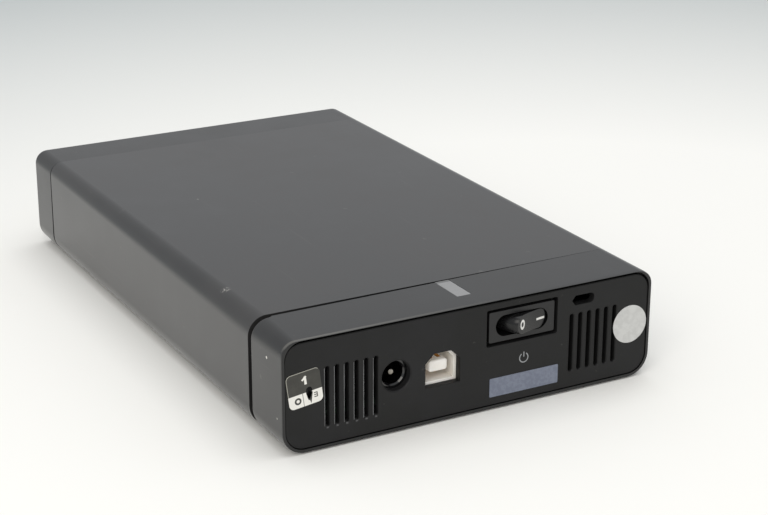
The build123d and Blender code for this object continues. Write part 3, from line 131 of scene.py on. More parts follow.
def makeFloor(look):
    mesh = bpy.data.meshes.new("floor")
    half = look["floorSize"] / 2
    corners = [(-half, -half, 0), (half, -half, 0), (half, half, 0), (-half, half, 0)]
    mesh.from_pydata(corners, [], [(0, 1, 2, 3)])
    floor = bpy.data.objects.new("floor", mesh)
    bpy.context.scene.collection.objects.link(floor)
    material, tree, shader, coords = newMaterial("paperSweep", {"Roughness": 0.9, "Specular IOR Level": 0.2})
    # painted pool of light: the floor's colour fades from floorNear to floorFar away from the object
    distance = addNode(tree, "VectorMath", {0: coords, 1: (*look["middle"], 0.0)},
                       operation="DISTANCE").outputs["Value"]
    fade = addNode(tree, "MapRange", {"Value": distance, "From Min": look["nearRadius"],
                                      "From Max": look["farRadius"]}).outputs[0]
    tone = addNode(tree, "Mix", {0: fade, 6: look["floorNear"], 7: look["floorFar"]},
                   data_type="RGBA").outputs[2]
    tree.links.new(tone, shader.inputs["Base Color"])
    tree.links.new(tone, shader.inputs["Emission Color"])
    # the floor glows in reflections only
    path = addNode(tree, "LightPath")
    glow = addNode(tree, "Math", {0: path.outputs["Is Glossy Ray"], 1: look["floorMirrored"]},
                   operation="MULTIPLY")
    tree.links.new(glow.outputs[0], shader.inputs["Emission Strength"])
    mesh.materials.append(material)


def makeSurround(look):
    world = bpy.data.worlds.new("surround")
    bpy.context.scene.world = world
    world.use_nodes = True
    tree = world.node_tree
    tree.nodes.clear()
    path = addNode(tree, "LightPath")
    seen = addNode(tree, "Math", {0: path.outputs["Is Camera Ray"], 1: path.outputs["Is Glossy Ray"]},
                   operation="ADD").outputs[0]
    seen = addNode(tree, "Math", {0: seen, 1: path.outputs["Is Transmission Ray"]},
                   operation="ADD").outputs[0]
    strength = addNode(tree, "MapRange", {"Value": seen, "To Min": look["ambient"],
                                          "To Max": look["mirrored"]}).outputs[0]
    back = addNode(tree, "Background", {"Color": look["surround"], "Strength": strength})
    addNode(tree, "OutputWorld", {"Surface": back.outputs[0]})


def makeLamp(look):
    lamp = bpy.data.lights.new(look["name"], "AREA")
    lamp.shape = "SQUARE"
    lamp.size = look["size"]
    lamp.energy = look["power"]
    lamp.color = linearColour(look["colour"])[:3]
    item = bpy.data.objects.new(look["name"], lamp)
    place = Vector(look["place"])
    item.matrix_world = Matrix.Translation(place) @ (-place).to_track_quat("-Z", "Y").to_matrix().to_4x4()
    bpy.context.scene.collection.objects.link(item)


makeFloor(studio)
makeSurround(studio)
for look in lamps:
    makeLamp(look)
bpy.context.scene.view_settings.view_transform = "Standard"
print("studio lit")


# ---- moulded plastics
# Charcoal ABS, moulded against a spark-eroded tool: a satin skin that is near black face on and pale at a low
# angle. Years of handling leave cloudy smudges, hairline scratches and pale nicks on it.
sleevePlastic = {"colour": "#1f1f20", "handled": "#2c2b2b", "sheen": 0.54, "rough": (0.27, 0.36),
                 "smudge": 46.0, "grain": 0.6, "grainDepth": 0.004, "dust": 2.2, "dustShare": 0.12,
                 "hairlines": 0.035, "worn": "#9d9a92"}
capPlastic = {**sleevePlastic, "colour": "#1b1b1c", "handled": "#242424", "sheen": 0.43, "smudge": 30.0}
# The connector panel is the same resin in a deeper black, with a drier, finer grain.
panelPlastic = {**sleevePlastic, "colour": "#191919", "handled": "#1f1f20", "sheen": 0.2,
                "rough": (0.45, 0.55), "smudge": 22.0, "grain": 0.55, "grainDepth": 0.006, "dust": 1.3,
                "dustShare": 0.1, "hairlines": 0.015, "worn": "#7d7c78"}
# Glass filled nylon of the switch: black with a faint shine where fingers polish it.
switchNylon = {**panelPlastic, "colour": "#151516", "handled": "#1b1b1c", "sheen": 0.35,
               "rough": (0.32, 0.42), "smudge": 9.0, "grain": 0.5, "grainDepth": 0.005}
rockerNylon = {**switchNylon, "colour": "#0d0d0e", "handled": "#131314", "rough": (0.22, 0.3), "smudge": 5.0}
# Unfilled nylon of the jack, black and wet looking because its mould is polished.
jackNylon = {**switchNylon, "colour": "#060607", "handled": "#0a0a0b", "sheen": 0.6, "rough": (0.1, 0.16),
             "grain": 0.8, "grainDepth": 0.001, "hairlines": 0.0}
# White PBT of the data port, slightly yellowed and soft looking.
portPbt = {**switchNylon, "colour": "#faf7f2", "handled": "#f2ede4", "sheen": 0.45, "rough": (0.3, 0.4),
           "worn": "#b9ad98", "grain": 0.9, "grainDepth": 0.002, "hairlines": 0.02, "dustShare": 0.2}
plungerNylon = {**portPbt, "colour": "#d9d5c8", "handled": "#cfcabb", "smudge": 3.0}
# Acetal of the ramp that the heads park on: ivory and waxy.
rampAcetal = {**portPbt, "colour": "#d5cfb9", "handled": "#cbc4ab", "rough": (0.38, 0.46)}
# Liquid crystal polymer of the drive's plug and socket: flow marked, dark and dry.
plugLcp = {**panelPlastic, "colour": "#1a1a1b", "handled": "#262627", "smudge": 4.0}
# PVC drawn over the switch's leads.
leadPvc = {**jackNylon, "colour": "#8c1714", "handled": "#7a120f", "worn": "#d0766f", "rough": (0.3, 0.4)}
# Compression moulded rubber of the feet and the drive's gasket: matt, greyed by dust.
footRubber = {**panelPlastic, "colour": "#1a1a1a", "handled": "#2c2c2b", "sheen": 0.15, "rough": (0.75, 0.85),
              "smudge": 6.0, "grain": 0.35, "grainDepth": 0.02, "worn": "#6d6a63", "dustShare": 0.6}
gasketFoam = {**footRubber, "colour": "#232324", "handled": "#303031", "grain": 0.3, "grainDepth": 0.05}
# Transfer moulded epoxy of the chips, and the fired ferrite of the inductors' feet.
chipEpoxy = {**panelPlastic, "colour": "#161617", "handled": "#1f1f20", "rough": (0.5, 0.62), "grain": 0.25,
             "grainDepth": 0.008, "smudge": 3.0}


def mouldedPlastic(name, look):
    material, tree, shader, coords = newMaterial(name, {"Specular IOR Level": look["sheen"]})
    smudge = addNode(tree, "TexNoise", {"Vector": coords, "Scale": patternScale(look["smudge"]),
                                        "Detail": 4.0, "Roughness": 0.6}).outputs[0]
    handled = addNode(tree, "MapRange", {"Value": smudge, "From Min": 0.42, "From Max": 0.66}).outputs[0]
    colour = addNode(tree, "Mix", {0: handled, 6: look["colour"], 7: look["handled"]},
                     data_type="RGBA").outputs[2]
    grain = addNode(tree, "TexNoise", {"Vector": coords, "W": 1.0, "Scale": patternScale(look["grain"]),
                                       "Roughness": 0.6}, noise_dimensions="4D").outputs[0]
    finishSurface(tree, shader, colour, smudge, (0.3, 0.7), look["rough"], grain, look["grainDepth"])
    # specks of dust, then hairlines that run along the case
    specks = addNode(tree, "TexNoise", {"Vector": coords, "W": 2.0, "Scale": patternScale(look["dust"]),
                                        "Detail": 0.0}, noise_dimensions="4D").outputs[0]
    specks = addNode(tree, "MapRange", {"Value": specks, "From Min": 0.83, "From Max": 0.88,
                                        "To Max": look["dustShare"]}).outputs[0]
    printOver(material, specks, look["worn"])
    slant = addNode(tree, "Mapping", {"Vector": coords, "Rotation": (0.45, 0.2, 0.35),
                                      "Scale": (1.0, 0.03, 1.0)}).outputs[0]
    lines = addNode(tree, "TexNoise", {"Vector": slant, "W": 5.0, "Scale": patternScale(0.9),
                                       "Detail": 1.0}, noise_dimensions="4D").outputs[0]
    lines = addNode(tree, "MapRange", {"Value": lines, "From Min": 0.70, "From Max": 0.76,
                                       "To Max": look["hairlines"]}).outputs[0]
    printOver(material, lines, look["worn"])
    return material


def bandMask(tree, value, centre, half, soft=0.05):
    # 1 where the value, in metres, is within half of the centre; both are given in millimetres
    offset = addNode(tree, "Math", {0: value, 1: -centre * mm}, operation="ADD").outputs[0]
    away = addNode(tree, "Math", {0: offset}, operation="ABSOLUTE").outputs[0]
    return addNode(tree, "MapRange", {"Value": away, "From Min": (half - soft) * mm,
                                      "From Max": (half + soft) * mm, "To Min": 1.0,
                                      "To Max": 0.0}).outputs[0]


def turnedPlace(tree, coords, x, z, degrees):
    # the place across and up a mark on the rear face, from the mark's middle, turned by that many degrees
    moved = addNode(tree, "Mapping", {"Vector": coords, "Location": (x * mm, 0.0, z * mm),
                                      "Rotation": (0.0, math.radians(-degrees), 0.0)},
                    vector_type="TEXTURE").outputs[0]
    split = addNode(tree, "SeparateXYZ", {0: moved})
    return split.outputs[0], split.outputs[2]


def boxMask(tree, across, up, x, z, halfWide, halfTall, soft=0.05):
    # 1 inside a rectangle whose middle and half sizes are given in millimetres
    return addNode(tree, "Math", {0: bandMask(tree, across, x, halfWide, soft),
                                  1: bandMask(tree, up, z, halfTall, soft)}, operation="MINIMUM").outputs[0]


def printOver(material, mask, ink):
    # lay an ink over the colour that the material has so far
    tree = material.node_tree
    base = next(node for node in tree.nodes if node.type == "BSDF_PRINCIPLED").inputs["Base Color"]
    under = base.links[0].from_socket if base.links else None
    mixed = addNode(tree, "Mix", {0: mask, 6: under, 7: ink}, data_type="RGBA").outputs[2]
    tree.links.new(mixed, base)


def objectCoords(material):
    return next(node for node in material.node_tree.nodes if node.type == "TEX_COORD").outputs["Object"]


sleeveAbs = mouldedPlastic("sparkErodedAbsSleeve", sleevePlastic)
capAbs = mouldedPlastic("sparkErodedAbsCap", capPlastic)
panelAbs = mouldedPlastic("sparkErodedAbsPanel", panelPlastic)
rockerSkin = mouldedPlastic("mouldedNylonRocker", rockerNylon)
print("plastics mixed")


# ---- wear on the case, with painted highlight and shade on its rear rim and painted highlights at its vents
# Knocks leave the resin pale. A nick is its place, its radius and how much of it shows; a scuff is a rubbed
# patch that fades out between two radii.
sleeveWear = {"ink": "#d8d5cd", "nicks": [(-30.0, 22.0, 32.3, 0.3, 0.4)], "scuffs": [(-54.1, -52.5, 31.7)],
              "scuffFade": (0.4, 1.7), "scuffShare": 0.5}
capWear = {**sleeveWear, "scuffs": [],
           "nicks": [(-58.0, -86.2, 25.4, 0.42, 1.0), (-58.0, -92.0, 10.4, 0.3, 0.5)]}
# The top of the rear rim is worn pale, most of all at its left, and that pale line is partly a painted
# highlight; the rim's flat end, and its rounding on the sides and foot, are painted with shade in a deeper
# black.
rimWearAndPaintedLight = {"ink": "#9d9a92", "line": (-94.35, 0.45, 0.15), "share": 0.24, "fade": (-40.0, 15.0),
           "rise": (29.6, 31.1), "shade": "#0f0f10", "end": -95.0, "flat": (0.05, 0.02),
           "rounded": (0.6, 0.2)}
# Painted highlights on the left vent's slots: pale lines along their left edges and pale spots at their feet.
ventHighlights = {"ink": "#a9a9aa", "first": -44.7, "pitch": 2.88, "count": 6, "middle": 14.8, "patch": 6.0,
            "line": (-0.75, 0.17, 8.2), "lineShare": 1.24, "foot": (-8.75, 0.3, 0.16), "footShare": 0.22}


def wearSpots(material, look):
    tree, coords = material.node_tree, objectCoords(material)
    ragged = addNode(tree, "TexNoise", {"Vector": coords, "W": 8.0, "Scale": patternScale(0.5)},
                     noise_dimensions="4D").outputs[0]
    for x, y, z, radius, share in look["nicks"]:
        away = addNode(tree, "VectorMath", {0: coords, 1: (x * mm, y * mm, z * mm)},
                       operation="DISTANCE").outputs["Value"]
        reach = addNode(tree, "Math", {0: ragged, 1: 2 * radius * mm}, operation="MULTIPLY").outputs[0]
        inside = addNode(tree, "Math", {0: away, 1: reach}, operation="LESS_THAN").outputs[0]
        inside = addNode(tree, "Math", {0: inside, 1: share}, operation="MULTIPLY").outputs[0]
        printOver(material, inside, look["ink"])
    start, stop = look["scuffFade"]
    for x, y, z in look["scuffs"]:
        away = addNode(tree, "VectorMath", {0: coords, 1: (x * mm, y * mm, z * mm)},
                       operation="DISTANCE").outputs["Value"]
        patch = addNode(tree, "MapRange", {"Value": away, "From Min": start * mm, "From Max": stop * mm,
                                           "To Min": look["scuffShare"], "To Max": 0.0}).outputs[0]
        # the grain that it rubs over breaks it up
        broken = addNode(tree, "MapRange", {"Value": ragged, "From Min": 0.48, "From Max": 0.56}).outputs[0]
        patch = addNode(tree, "Math", {0: patch, 1: broken}, operation="MULTIPLY").outputs[0]
        printOver(material, patch, look["ink"])


def paintRimWearAndLight(material, look):
    tree = material.node_tree
    across, along, up = addNode(tree, "SeparateXYZ", {0: objectCoords(material)}).outputs
    # the pale line along the rim's top: worn, and partly a painted highlight that fades to the right
    rim = bandMask(tree, along, *look["line"])
    start, stop = look["fade"]
    rubbed = addNode(tree, "MapRange", {"Value": across, "From Min": start * mm, "From Max": stop * mm,
                                        "To Min": look["share"], "To Max": 0.0}).outputs[0]
    start, stop = look["rise"]
    raised = addNode(tree, "MapRange", {"Value": up, "From Min": start * mm,
                                        "From Max": stop * mm}).outputs[0]
    rim = addNode(tree, "Math", {0: rim, 1: rubbed}, operation="MULTIPLY").outputs[0]
    rim = addNode(tree, "Math", {0: rim, 1: raised}, operation="MULTIPLY").outputs[0]
    printOver(material, rim, look["ink"])
    # painted shade: the rim's flat end, and its rounding below the top, darkened to near black
    flat = bandMask(tree, along, look["end"], *look["flat"])
    rounded = bandMask(tree, along, look["end"], *look["rounded"])
    rounded = addNode(tree, "Math", {0: rounded, 1: raised}, operation="SUBTRACT", use_clamp=True).outputs[0]
    flat = addNode(tree, "Math", {0: flat, 1: rounded}, operation="MAXIMUM").outputs[0]
    printOver(material, flat, look["shade"])


def paintVentHighlights(material, look):
    tree, coords = material.node_tree, objectCoords(material)
    across, along, up = addNode(tree, "SeparateXYZ", {0: coords}).outputs
    fade = addNode(tree, "TexNoise", {"Vector": coords, "Scale": patternScale(look["patch"])}).outputs[0]
    lineX, lineHalf, lineTall = look["line"]
    footZ, footHalf, footTall = look["foot"]
    # each slot gets a painted highlight line on its left edge and a painted highlight spot at its foot
    for step in range(look["count"]):
        middle = look["first"] + step * look["pitch"]
        line = boxMask(tree, across, up, middle + lineX, look["middle"], lineHalf, lineTall, 0.06)
        line = addNode(tree, "Math", {0: line, 1: fade}, operation="MULTIPLY").outputs[0]
        line = addNode(tree, "Math", {0: line, 1: look["lineShare"]}, operation="MULTIPLY").outputs[0]
        printOver(material, line, look["ink"])
        foot = boxMask(tree, across, up, middle, look["middle"] + footZ, footHalf, footTall, 0.12)
        foot = addNode(tree, "Math", {0: foot, 1: look["footShare"]}, operation="MULTIPLY").outputs[0]
        printOver(material, foot, look["ink"])


wearSpots(sleeveAbs, sleeveWear)
wearSpots(capAbs, capWear)
paintRimWearAndLight(capAbs, rimWearAndPaintedLight)
print("case worn")


# ---- printed marks on the plastics
# Pad printed white ink on the rocker: a nought on its low half and a dash on its high half.
rockerMarks = {"ink": "#dcdbd7", "nought": (14.2, 24.2), "noughtSize": (1.8, 2.9), "stroke": 0.44,
               "dash": (21.2, 24.1), "dashSize": (2.9, 0.64)}
# Grey ink under the switch: a ring that is open at the top, with a short bar in the gap.
powerMark = {"ink": "#96989a", "middle": (15.9, 13.6), "radius": 1.35, "stroke": 0.3, "barTop": 1.75,
             "barFoot": 0.25, "gap": 0.72}


def printRockerMarks(material, look):
    tree, coords = material.node_tree, objectCoords(material)
    across, up = turnedPlace(tree, coords, *look["nought"], 0.0)
    wide, tall = look["noughtSize"]
    # an oval ring: the distance in a frame where the oval is a circle
    flat = addNode(tree, "Math", {0: up, 1: wide / tall}, operation="MULTIPLY").outputs[0]
    place = addNode(tree, "CombineXYZ", {0: across, 1: flat}).outputs[0]
    reach = addNode(tree, "VectorMath", {0: place}, operation="LENGTH").outputs["Value"]
    printOver(material, bandMask(tree, reach, (wide - look["stroke"]) / 2, look["stroke"] / 2), look["ink"])
    across, up = turnedPlace(tree, coords, *look["dash"], 0.0)
    wide, tall = look["dashSize"]
    printOver(material, boxMask(tree, across, up, 0.0, 0.0, wide / 2, tall / 2), look["ink"])


def printPowerMark(material, look):
    tree, coords = material.node_tree, objectCoords(material)
    across, up = turnedPlace(tree, coords, *look["middle"], 0.0)
    place = addNode(tree, "CombineXYZ", {0: across, 1: up}).outputs[0]
    reach = addNode(tree, "VectorMath", {0: place}, operation="LENGTH").outputs["Value"]
    ring = bandMask(tree, reach, look["radius"], look["stroke"] / 2)
    gap = boxMask(tree, across, up, 0.0, look["barTop"], look["gap"], look["barTop"] - 0.1)
    ring = addNode(tree, "Math", {0: ring, 1: gap}, operation="SUBTRACT", use_clamp=True).outputs[0]
    printOver(material, ring, look["ink"])
    middle = (look["barTop"] + look["barFoot"]) / 2
    bar = boxMask(tree, across, up, 0.0, middle, look["stroke"] / 2, look["barTop"] - middle)
    printOver(material, bar, look["ink"])


printRockerMarks(rockerSkin, rockerMarks)
printPowerMark(panelAbs, powerMark)
# painted highlights on the left vent's slots
paintVentHighlights(panelAbs, ventHighlights)
print("marks printed")


# ---- metals
# Each starts from its plating: a base tint, duller where fingers and flux have tarnished it, and fine drawing
# or rolling lines along one direction.
zincSteel = {"colour": "#b9bcbf", "tarnish": "#8d9092", "rough": (0.28, 0.45), "lines": (1.0, 0.05, 1.0),
             "spacing": 0.5, "depth": 0.003, "patch": 7.0}
blackSteel = {**zincSteel, "colour": "#2a2a2b", "tarnish": "#191919", "rough": (0.35, 0.5), "patch": 2.0}
springSteel = {**zincSteel, "colour": "#a3a4a6", "tarnish": "#77787a", "patch": 1.5}
tinnedSteel = {**zincSteel, "colour": "#c4c4c2", "tarnish": "#a3a29d", "rough": (0.22, 0.36), "patch": 4.0}
nickelBrass = {**zincSteel, "colour": "#cfcbc2", "tarnish": "#b5b0a3", "rough": (0.12, 0.22), "patch": 2.0}
pinNickel = {**nickelBrass, "colour": "#8f8b84", "tarnish": "#6f6b64", "rough": (0.08, 0.16)}
contactBrass = {**zincSteel, "colour": "#c9a55c", "tarnish": "#9a7a3f", "rough": (0.2, 0.34), "patch": 3.0}
goldFlash = {**zincSteel, "colour": "#eeb04a", "tarnish": "#dd8c2c", "rough": (0.12, 0.2), "patch": 1.5}
# Die cast aluminium keeps a blasted, slightly mottled skin instead of lines.
castAluminium = {**zincSteel, "colour": "#a9abad", "tarnish": "#8b8d8f", "rough": (0.42, 0.55),
                 "lines": (1.0, 1.0, 1.0), "spacing": 0.4, "depth": 0.02, "patch": 18.0}
coverSteel = {**zincSteel, "colour": "#c3c5c7", "tarnish": "#a8aaac", "rough": (0.25, 0.36), "patch": 30.0}
armAluminium = {**castAluminium, "colour": "#c6c7c8", "tarnish": "#adaeb0", "rough": (0.26, 0.36),
                "lines": (0.06, 1.0, 1.0), "spacing": 0.35, "depth": 0.004}


def platedMetal(name, look):
    material, tree, shader, coords = newMaterial(name, {"Metallic": 1.0})
    patches = addNode(tree, "TexNoise", {"Vector": coords, "Scale": patternScale(look["patch"]),
                                         "Detail": 3.0}).outputs[0]
    stretched = addNode(tree, "Mapping", {"Vector": coords, "Scale": look["lines"]}).outputs[0]
    lines = addNode(tree, "TexNoise", {"Vector": stretched, "Scale": patternScale(look["spacing"]),
                                       "Detail": 3.0}).outputs[0]
    dull = addNode(tree, "MapRange", {"Value": patches, "From Min": 0.4, "From Max": 0.7}).outputs[0]
    colour = addNode(tree, "Mix", {0: dull, 6: look["colour"], 7: look["tarnish"]},
                     data_type="RGBA").outputs[2]
    uneven = addNode(tree, "Math", {0: lines, 1: dull}, operation="ADD").outputs[0]
    finishSurface(tree, shader, colour, uneven, (0.3, 1.4), look["rough"], lines, look["depth"])
    return material


# ---- turned and polished pieces on the spindle
# Aluminium faced on a lathe shows rings round its axis; a disc is a mirror with a faint bluish carbon coat.
turnedAluminium = {"colour": "#c9cacb", "dark": "#b2b4b6", "rough": (0.16, 0.3), "ring": 0.35, "depth": 0.003}
discMirror = {"colour": "#b9b2a8", "dark": "#b0aca6", "rough": (0.02, 0.05), "ring": 1.4, "depth": 0.0}
spindle = (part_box("disc_clamp")[0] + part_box("disc_clamp")[1]) / 2


def turnedMetal(name, look, axis):
    material, tree, shader, coords = newMaterial(name, {"Metallic": 1.0})
    moved = addNode(tree, "VectorMath", {0: coords, 1: (axis.x, axis.y, 0.0)},
                    operation="SUBTRACT").outputs[0]
    flat = addNode(tree, "VectorMath", {0: moved, 1: (1.0, 1.0, 0.0)}, operation="MULTIPLY").outputs[0]
    radius = addNode(tree, "VectorMath", {0: flat}, operation="LENGTH").outputs["Value"]
    rings = addNode(tree, "TexNoise", {"W": radius, "Scale": patternScale(look["ring"]), "Detail": 2.0},
                    noise_dimensions="1D").outputs[0]
    colour = addNode(tree, "Mix", {0: rings, 6: look["colour"], 7: look["dark"]}, data_type="RGBA").outputs[2]
    finishSurface(tree, shader, colour, rings, (0.3, 0.7), look["rough"], rings, look["depth"])
    return material


# ---- circuit boards
# Green solder mask over glass epoxy: copper shows through as paler tracks, with tinned rings at the holes.
bridgeBoard = {"mask": "#0c2416", "track": "#143420", "hole": "#b9b9a8", "pitch": 2.2, "holePitch": 4.6,
               "rough": (0.22, 0.3), "depth": 0.03}
driveBoard = {**bridgeBoard, "mask": "#0c2818", "track": "#143a23", "pitch": 1.8, "holePitch": 3.8}


def maskedBoard(name, look):
    material, tree, shader, coords = newMaterial(name, {"Specular IOR Level": 0.5})
    cells = addNode(tree, "TexVoronoi", {"Vector": coords, "Scale": patternScale(4 * look["pitch"])},
                    distance="MANHATTAN", feature="F1")
    # each cell runs its tracks one way, across or along the board
    split = addNode(tree, "SeparateColor", {0: cells.outputs["Color"]}).outputs[0]
    turned = addNode(tree, "Math", {0: split, 1: 0.5}, operation="GREATER_THAN").outputs[0]
    place = addNode(tree, "SeparateXYZ", {0: coords})
    along = addNode(tree, "Mix", {0: turned, 2: place.outputs[0], 3: place.outputs[1]}).outputs[0]
    wave = addNode(tree, "Math", {0: along, 1: 2 * math.pi / (look["pitch"] * mm)},
                   operation="MULTIPLY").outputs[0]
    wave = addNode(tree, "Math", {0: wave}, operation="SINE").outputs[0]
    tracks = addNode(tree, "MapRange", {"Value": wave, "From Min": 0.2, "From Max": 0.4}).outputs[0]
    colour = addNode(tree, "Mix", {0: tracks, 6: look["mask"], 7: look["track"]}, data_type="RGBA").outputs[2]
    dots = addNode(tree, "TexVoronoi", {"Vector": coords, "Scale": patternScale(look["holePitch"]),
                                        "Randomness": 0.7}).outputs["Distance"]
    holes = addNode(tree, "MapRange", {"Value": dots, "From Min": 0.07, "From Max": 0.09, "To Min": 1.0,
                                       "To Max": 0.0}).outputs[0]
    colour = addNode(tree, "Mix", {0: holes, 6: colour, 7: look["hole"]}, data_type="RGBA").outputs[2]
    finishSurface(tree, shader, colour, tracks, (0.0, 1.0), look["rough"], tracks, look["depth"])
    return material


# ---- two-part pieces, whose finish changes at a height
# A capacitor's shrunk sleeve ends in its bare, stamped aluminium top; an inductor's foot carries a lacquered
# copper coil; the motor's steel stack carries windings between its end plates.
canFinish = {"low": "#111318", "high": "#bdbec0", "from": 0.35, "turns": 3.0, "rough": (0.25, 0.4),
             "depth": 0.04}
coilFinish = {**canFinish, "low": "#1b1a19", "high": "#8a4a23", "from": 3.0, "turns": 0.5}
statorFinish = {**canFinish, "low": "#8f8f90", "high": "#9a5526", "from": 3.2, "turns": 0.45}


def splitFinish(name, look, node):
    # the change is so many millimetres below the node's top
    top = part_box(node)[1].z
    material, tree, shader, coords = newMaterial(name, {})
    up = addNode(tree, "SeparateXYZ", {0: coords}).outputs[2]
    above = addNode(tree, "Math", {0: up, 1: top - look["from"] * mm}, operation="GREATER_THAN").outputs[0]
    turns = addNode(tree, "Math", {0: up, 1: 2 * math.pi / (look["turns"] * mm)},
                    operation="MULTIPLY").outputs[0]
    turns = addNode(tree, "Math", {0: turns}, operation="SINE").outputs[0]
    patches = addNode(tree, "TexNoise", {"Vector": coords, "Scale": patternScale(2.0)}).outputs[0]
    colour = addNode(tree, "Mix", {0: above, 6: look["low"], 7: look["high"]}, data_type="RGBA").outputs[2]
    shade = addNode(tree, "MapRange", {"Value": patches, "To Min": 0.8, "To Max": 1.2}).outputs[0]
    colour = addNode(tree, "VectorMath", {0: colour, 1: shade}, operation="MULTIPLY").outputs[0]
    tree.links.new(above, shader.inputs["Metallic"])
    finishSurface(tree, shader, colour, patches, (0.0, 1.0), look["rough"], turns, look["depth"])
    return material


# ---- labels
# Printed vinyl and polyester films: an even coat, slightly mottled where the glue behind it has moved.
sealFilm = {"colour": "#c6c6c4", "second": "#bdbdbb", "cell": 1.6, "rough": (0.32, 0.42), "sheen": 0.5,
            "depth": 0.01}
greyLabel = {**sealFilm, "colour": "#747a89", "second": "#6a7080", "cell": 0.9, "rough": (0.45, 0.55),
             "sheen": 0.4}
tagFilm = {**sealFilm, "colour": "#26251f", "second": "#302f29", "cell": 2.5, "rough": (0.3, 0.4)}


def printedFilm(name, look):
    material, tree, shader, coords = newMaterial(name, {"Specular IOR Level": look["sheen"]})
    cells = addNode(tree, "TexNoise", {"Vector": coords, "Scale": patternScale(look["cell"]),
                                       "Detail": 3.0}).outputs[0]
    mixing = addNode(tree, "MapRange", {"Value": cells, "From Min": 0.4, "From Max": 0.6}).outputs[0]
    colour = addNode(tree, "Mix", {0: mixing, 6: look["colour"], 7: look["second"]},
                     data_type="RGBA").outputs[2]
    finishSurface(tree, shader, colour, cells, (0.0, 1.0), look["rough"], cells, look["depth"])
    return material


sealSkin = printedFilm("vinylSeal", sealFilm)
labelSkin = printedFilm("mattPolyesterLabel", greyLabel)
tagSkin = printedFilm("vinylNumberTag", tagFilm)

# The tag is printed dark olive with a pale outline along its top and left and a figure one; below it a white
# strip carries a nought, a three and a dark tear at the punched hole. Places are in millimetres from the
# tag's middle, but for the hole's, which is the CAD's; the tear lies to its right and narrows to its foot.
tagPrint = {"half": 4.9, "corner": 1.4, "outline": "#a5a399", "edge": 0.14, "white": "#e6e4de",
            "ink": "#2b2b27", "turn": 7.5, "raise": 0.5, "stripTop": -1.15, "figure": (0.5, 2.3, 0.34, 1.15),
            "flag": (-0.2, 2.95), "flagSize": (0.8, 0.26), "flagTurn": 38.0, "divider": (-0.75, 0.07),
            "nought": (-2.3, -2.95, 0.72, 0.26), "three": (2.9, -2.6, 0.45, 0.14), "threeRise": 1.3,
            "tear": (1.35, -4.7, 0.85, 3.2), "hole": (-50.6, 16.5, 1.3), "tearShift": 0.5, "tearTall": 1.5,
            "tearNarrow": 0.25}


def printTag(material, look):
    tree, coords = material.node_tree, objectCoords(material)
    low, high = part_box("number_sticker")
    middle = (low + high) / (2 * mm) + Vector((0.0, 0.0, look["raise"]))
    across, up = turnedPlace(tree, coords, middle.x, middle.z, look["turn"])
    # distance in from the tag's rounded outline, for its pale edge
    reach = look["half"] - look["corner"]
    sides = []
    for value in (across, up):
        away = addNode(tree, "Math", {0: value}, operation="ABSOLUTE").outputs[0]
        beyond = addNode(tree, "Math", {0: away, 1: reach * mm}, operation="SUBTRACT").outputs[0]
        sides.append(addNode(tree, "Math", {0: beyond, 1: 0.0}, operation="MAXIMUM").outputs[0])
    corner = addNode(tree, "CombineXYZ", {0: sides[0], 1: sides[1]}).outputs[0]
    corner = addNode(tree, "VectorMath", {0: corner}, operation="LENGTH").outputs["Value"]
    edge = bandMask(tree, corner, look["corner"], look["edge"])
    slope = addNode(tree, "Math", {0: up, 1: across}, operation="SUBTRACT").outputs[0]
    upperLeft = addNode(tree, "Math", {0: slope, 1: 0.0}, operation="GREATER_THAN").outputs[0]
    edge = addNode(tree, "Math", {0: edge, 1: upperLeft}, operation="MULTIPLY").outputs[0]
    printOver(material, edge, look["outline"])
    # the figure one and its flag
    printOver(material, boxMask(tree, across, up, *look["figure"]), look["white"])
    flagX, flagZ = look["flag"]
    slantAcross, slantUp = turnedPlace(tree, coords, middle.x + flagX, middle.z + flagZ,
                                       look["turn"] + look["flagTurn"])
    printOver(material, boxMask(tree, slantAcross, slantUp, 0.0, 0.0, *look["flagSize"]), look["white"])
    # the strip with its nought, three and divider
    stripMiddle, stripHalf = (look["stripTop"] - look["half"]) / 2, (look["stripTop"] + look["half"]) / 2
    printOver(material, bandMask(tree, up, stripMiddle, stripHalf), look["white"])
    x, z, radius, stroke = look["nought"]
    spot = addNode(tree, "CombineXYZ", {0: across, 1: up}).outputs[0]
    away = addNode(tree, "VectorMath", {0: spot, 1: (x * mm, z * mm, 0.0)},
                   operation="DISTANCE").outputs["Value"]
    printOver(material, bandMask(tree, away, radius, stroke), look["ink"])
    x, z, half, stroke = look["three"]
    for step in (-1, 0, 1):
        bar = boxMask(tree, across, up, x, z + step * look["threeRise"] * half, half, stroke)
        printOver(material, bar, look["ink"])
    printOver(material, boxMask(tree, across, up, x + half, z, stroke, 1.5 * half), look["ink"])
    x, half = look["divider"]
    printOver(material, boxMask(tree, across, up, x, stripMiddle, half, stripHalf), look["ink"])
    # the tear narrows to a point at its foot
    x, footZ, half, tall = look["tear"]
    offset = addNode(tree, "Math", {0: across, 1: -x * mm}, operation="ADD").outputs[0]
    offset = addNode(tree, "Math", {0: offset}, operation="ABSOLUTE").outputs[0]
    room = addNode(tree, "MapRange", {"Value": up, "From Min": footZ * mm,
                                      "From Max": (footZ + tall) * mm, "To Max": half * mm}).outputs[0]
    tear = addNode(tree, "Math", {0: offset, 1: room}, operation="LESS_THAN").outputs[0]
    below = bandMask(tree, up, footZ + tall / 2, tall / 2)
    tear = addNode(tree, "Math", {0: tear, 1: below}, operation="MINIMUM").outputs[0]
    printOver(material, tear, look["ink"])


printTag(tagSkin, tagPrint)

# ---- light window
# Frosted acrylic over the lamp, drawn opaque: its grey is painted shade, that of the dark well behind it, and
# its paler core is a painted highlight where its walls send the light back up.
windowAcrylic = {"colour": "#5e5e5e", "core": "#8b8b8c", "inset": (0.55, 0.9), "soft": 0.18, "frost": 1.2,
                 "rough": (0.28, 0.36), "depth": 0.01}


